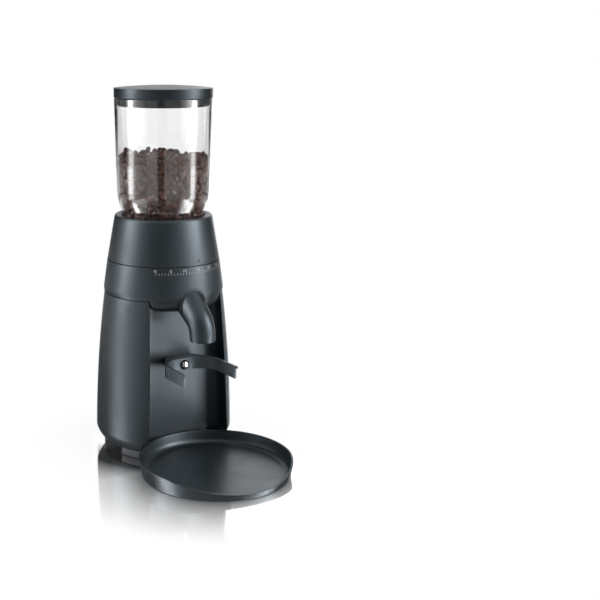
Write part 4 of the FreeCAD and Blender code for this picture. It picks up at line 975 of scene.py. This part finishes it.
# sheets that gloss and glass see: upright strips, a dim screen in front and black cards
# turns are degrees from the camera; marks are (turn, share), rows are (height, share)
footRows = ((0.0, 0.6), (0.04, 0.9), (0.06, 1.0), (0.11, 1.0), (0.125, 0.6))
stripRows = ((0.125, 0.25), (0.2, 0.25), (0.26, 0.6), (0.32, 1.0), (1.3, 1.0))
cardRows = ((0.0, 0), (0.03, 1), (0.105, 1), (0.125, 0), (1.3, 0))
sheetLook = {
    "frontCard": dict(distance=1.66, glow=0.0, marks=((-14, 0), (3, 0)), rows=((0.0, 0), (1.1, 0))),
    "frontScreen": dict(distance=1.8, glow=1.0, marks=((-66, 1), (0, 1), (10, 0.66), (42, 0.66), (62, 1)),
                        rows=((0.0, 0.9), (0.11, 0.9), (0.15, 0.3), (0.2, 0.12), (1.6, 0.1))),
    "leftFoot": dict(distance=1.25, glow=8.0, rows=footRows,
                     marks=((-104, 0.0), (-98, 0.15), (-94, 0.5), (-91, 1.0), (-81, 1.0), (-77, 0.5),
                            (-73, 0.24), (-66, 0.16), (-56, 0.13), (-44, 0.11))),
    "leftStrip": dict(distance=1.25, glow=15.5, rows=stripRows,
                      marks=((-100, 0.0), (-92, 0.05), (-88, 0.3), (-86, 1.0), (-75, 1.0), (-72, 0.32),
                             (-66, 0.17), (-58, 0.09), (-50, 0.05), (-42, 0.03))),
    "rightFoot": dict(distance=1.25, glow=8.0, rows=footRows,
                      marks=((40, 0.11), (56, 0.13), (64, 0.18), (68, 0.3), (71, 1.0), (80, 1.0), (84, 0.3),
                             (90, 0.0))),
    "rightStrip": dict(distance=1.25, glow=17.5, rows=stripRows,
                       marks=((40, 0.03), (48, 0.07), (54, 0.2), (60, 0.31), (66, 0.37), (69, 0.42),
                              (71, 1.0), (81, 1.0), (83, 0.3), (88, 0.05), (95, 0.0))),
    "leftWing": dict(distance=0.6, glow=2.3, marks=((-72, 0.6), (-68, 1), (-50, 1), (-44, 0.6), (-40, 0.2)),
                     rows=((0.0, 1), (0.07, 1), (0.085, 0.6))),
    "rightWing": dict(distance=0.6, glow=9.4, marks=((42, 0.03), (50, 0.3), (59, 1), (66, 1), (70, 0.6)),
                      rows=((0.0, 1), (0.07, 1), (0.085, 0.3))),
    "leftCard": dict(distance=1.4, glow=0.42, rows=cardRows,
                     marks=((-160, 1), (-104, 1), (-98, 0), (-90, 0))),
    "rightCard": dict(distance=1.4, glow=0.3, rows=cardRows, marks=((86, 0), (96, 0), (104, 1), (158, 1))),
    "backSheet": dict(distance=1.3, glow=1.9, marks=((146, 0), (152, 1), (172, 1), (180, 0.3)),
                      rows=((0.0, 1), (1.2, 1)), throughGlass=False),
}


def sheetFelt(name, glow):
    finish = Finish(name, Specular_IOR_Level=0.0, Roughness=0.9, Emission_Strength=glow)
    nap = finish.noise(240.0, 3.0, 0.6)
    finish.set("Base Color", finish.blend(nap, rgb(0.004, 0.004, 0.004), rgb(0.008, 0.008, 0.008)))
    finish.set("Emission Color", finish.add("ShaderNodeAttribute", {"attribute_name": "glow"}, output="Fac"))
    return finish.material


def makeSheet(name, distance, glow, marks, rows, throughGlass=True):
    start, stop = marks[0][0], marks[-1][0]
    steps = max(12, int(stop - start))
    vertices, shares = [], []
    for step in range(steps + 1):
        degrees = start + (stop - start) * step / steps
        for height, share in rows:
            vertices.append(onAxis(height) + towards(degrees) * distance)
            shares.append(share * between(marks, degrees))
    mesh = bpy.data.meshes.new(name)
    mesh.from_pydata(vertices, [], gridFaces(steps + 1, len(rows), closeCount=False))
    mesh.attributes.new("glow", "FLOAT", "POINT").data.foreach_set("value", shares)
    mesh.materials.append(sheetFelt(name + "Felt", glow))
    sheet = placed(name, mesh)
    sheet.visible_camera = False
    sheet.visible_diffuse = False
    sheet.visible_transmission = throughGlass
    sheet.visible_shadow = False


for name, look in sheetLook.items():
    makeSheet(name, **look)

floorLook = dict(bodyRadius=0.060, bodyHold=0.03, bodyFade=0.094, bodyPower=0.8, trayRadius=0.068,
                 trayAhead=trayLook["centre"] / 1000, trayFade=0.098, trayPower=1.25, rimFade=0.055,
                 polish=0.985, gleam=0.93, matt=0.1, mattBehind=0.1, contact=0.4, contactReach=0.1,
                 half=6.0, cells=12, sink=0.0003)


def makeFloor(bodyRadius, bodyHold, bodyFade, bodyPower, trayRadius, trayAhead, trayFade, trayPower, rimFade,
              polish, gleam, matt, mattBehind, contact, contactReach, half, cells, sink):
    # white floor; near the object it mirrors the foot and keeps its cast shadow, with painted shade added
    # under the body's mirror image
    finish = Finish("paleFloor", Roughness=0.6, Specular_IOR_Level=0.2)
    spot = finish.place()
    span = finish.span

    def vector(operation, first, second, output="Vector"):
        return finish.add("ShaderNodeVectorMath", {"operation": operation}, {0: first, 1: second}, output)

    def clear(centre, radius):  # distance to a round foot
        return vector("LENGTH", vector("SUBTRACT", spot, centre), (0, 0, 0), "Value") - radius

    def fading(distance, hold, fade, power):
        return span(distance, hold, fade, 1.0, 0.0).work("POWER", power)

    def within(value, rise, fall):
        return span(value, *rise) * span(value, *fall, 1.0, 0.0)

    def mix(factor, first, second):
        return finish.add("ShaderNodeMixShader", {}, {0: factor, 1: first, 2: second})

    body = clear((0, axisY, 0), bodyRadius)
    tray = clear((0, axisY - trayAhead, 0), trayRadius)
    underTray = fading(tray, 0.0, trayFade, trayPower)
    near = fading(body, bodyHold, bodyFade, bodyPower).work("MAXIMUM", underTray)
    offset = vector("SUBTRACT", spot, (0, axisY, 0))
    reach = vector("LENGTH", offset, (0, 0, 0), "Value")
    ahead = vector("DOT_PRODUCT", offset, tuple(away), "Value")
    across = vector("DOT_PRODUCT", offset, tuple(right), "Value")
    turn = across.work("ARCTAN2", ahead) * (180 / math.pi)
    glossy = finish.ray("Is Glossy Ray")

    # what gloss sees of the floor: white ahead of and behind the object, dark between
    front = (within(turn, (-46, -38), (34, 44)) * (1 - within(turn, (-14, -12.5), (0.5, 3.5)))
             * span(turn, -6, 6, 1.0, 0.6) * span(reach, 0.5, 0.86) * span(reach, 1.1, 1.25, 1.0, 0.6))
    behind = span(turn.work("ABSOLUTE", 0), 104, 112) * within(reach, (0.6, 0.9), (1.08, 1.14)) * 0.65

    # only the floor between the object and the camera mirrors: the body's column, and a rim round the tray
    column = across / (1 - ahead / cameraLook["distance"])  # narrows towards the camera
    facing = span(ahead, -0.05, 0.01)
    rim = fading(tray, 0.0, rimFade, 1.0) * span(ahead, trayAhead * 0.6, trayAhead)
    inColumn = near * within(column, (-0.082, -0.075), (0.075, 0.082))
    mirrored = facing * inColumn.work("MAXIMUM", rim)
    mirror = mirrored * polish * (1 - glossy) + glossy * (1 - front - behind) * gleam
    # painted shadow: a fixed strip of the mirror under the body's image is darkened, fading away from the
    # body
    shade = 1 - (within(column, (-0.0735, -0.0715), (0.0715, 0.0735)) * span(ahead, 0.01, 0.035)
                 * span(body, 0.01, contactReach, 1 - contact, 0.0))  # under the body's mirror image
    # painted shade: for glossy rays the floor's mirror is darker to the left in front, so the lower body
    # reflects less there
    shade = shade * (1 - span(turn, -50, -20, 0.32, 0.0) * span(ahead, -0.1, 0.0) * glossy)

    tone = finish.blend(finish.noise(160.0, 3.0, 0.5) * 0.15, rgb(0.93, 0.93, 0.93), rgb(0.89, 0.89, 0.895))
    finish.set("Base Color", tone)
    paint = Wire(finish.tree, finish.shader.outputs[0])
    white = finish.add("ShaderNodeEmission", {}, {"Color": rgb(1, 1, 1), "Strength": 1.0})
    black = finish.add("ShaderNodeEmission", {}, {"Color": rgb(0, 0, 0), "Strength": 0.0})
    coat = finish.add("ShaderNodeBsdfGlossy", {}, {"Color": rgb(1, 1, 1), "Roughness": 0.07})
    shaded = mix(near * (matt + (1 - facing) * mattBehind), white, paint)
    polished = mix(mirror, shaded, mix(shade, black, coat))
    seen = finish.ray("Is Camera Ray") + glossy + finish.ray("Is Transmission Ray")
    surface = mix(seen.work("MINIMUM", 1.0), paint, polished)
    finish.feed(finish.tree.nodes["Material Output"].inputs["Surface"], surface)

    build = bmesh.new()
    bmesh.ops.create_grid(build, x_segments=cells, y_segments=cells, size=half)
    mesh = bpy.data.meshes.new("floor")
    build.to_mesh(mesh)
    build.free()
    mesh.materials.append(finish.material)
    floor = placed("floor", mesh)
    floor.location = (0, 0, -sink)


worldLook = dict(fill=0.25, white=1.0)


def makeWorld(fill, white):  # dim light on the object, white where it is seen
    world = bpy.data.worlds.new("studio")
    bpy.context.scene.world = world
    sky = Shading(world)
    scattered = sky.ray("Diffuse Depth").work("MINIMUM", 1.0)
    glass = sky.ray("Is Transmission Ray") * (1 - scattered)
    seen = sky.ray("Is Camera Ray") + sky.ray("Is Glossy Ray") + glass
    background = sky.tree.nodes["Background"]
    sky.feed(background.inputs["Color"], rgb(1, 1, 1))
    sky.feed(background.inputs["Strength"], fill + seen.work("MINIMUM", 1.0) * (white - fill))


makeFloor(**floorLook)
makeWorld(**worldLook)
bpy.context.scene.view_settings.view_transform = "Standard"
print("camera, lamps, floor and world set")
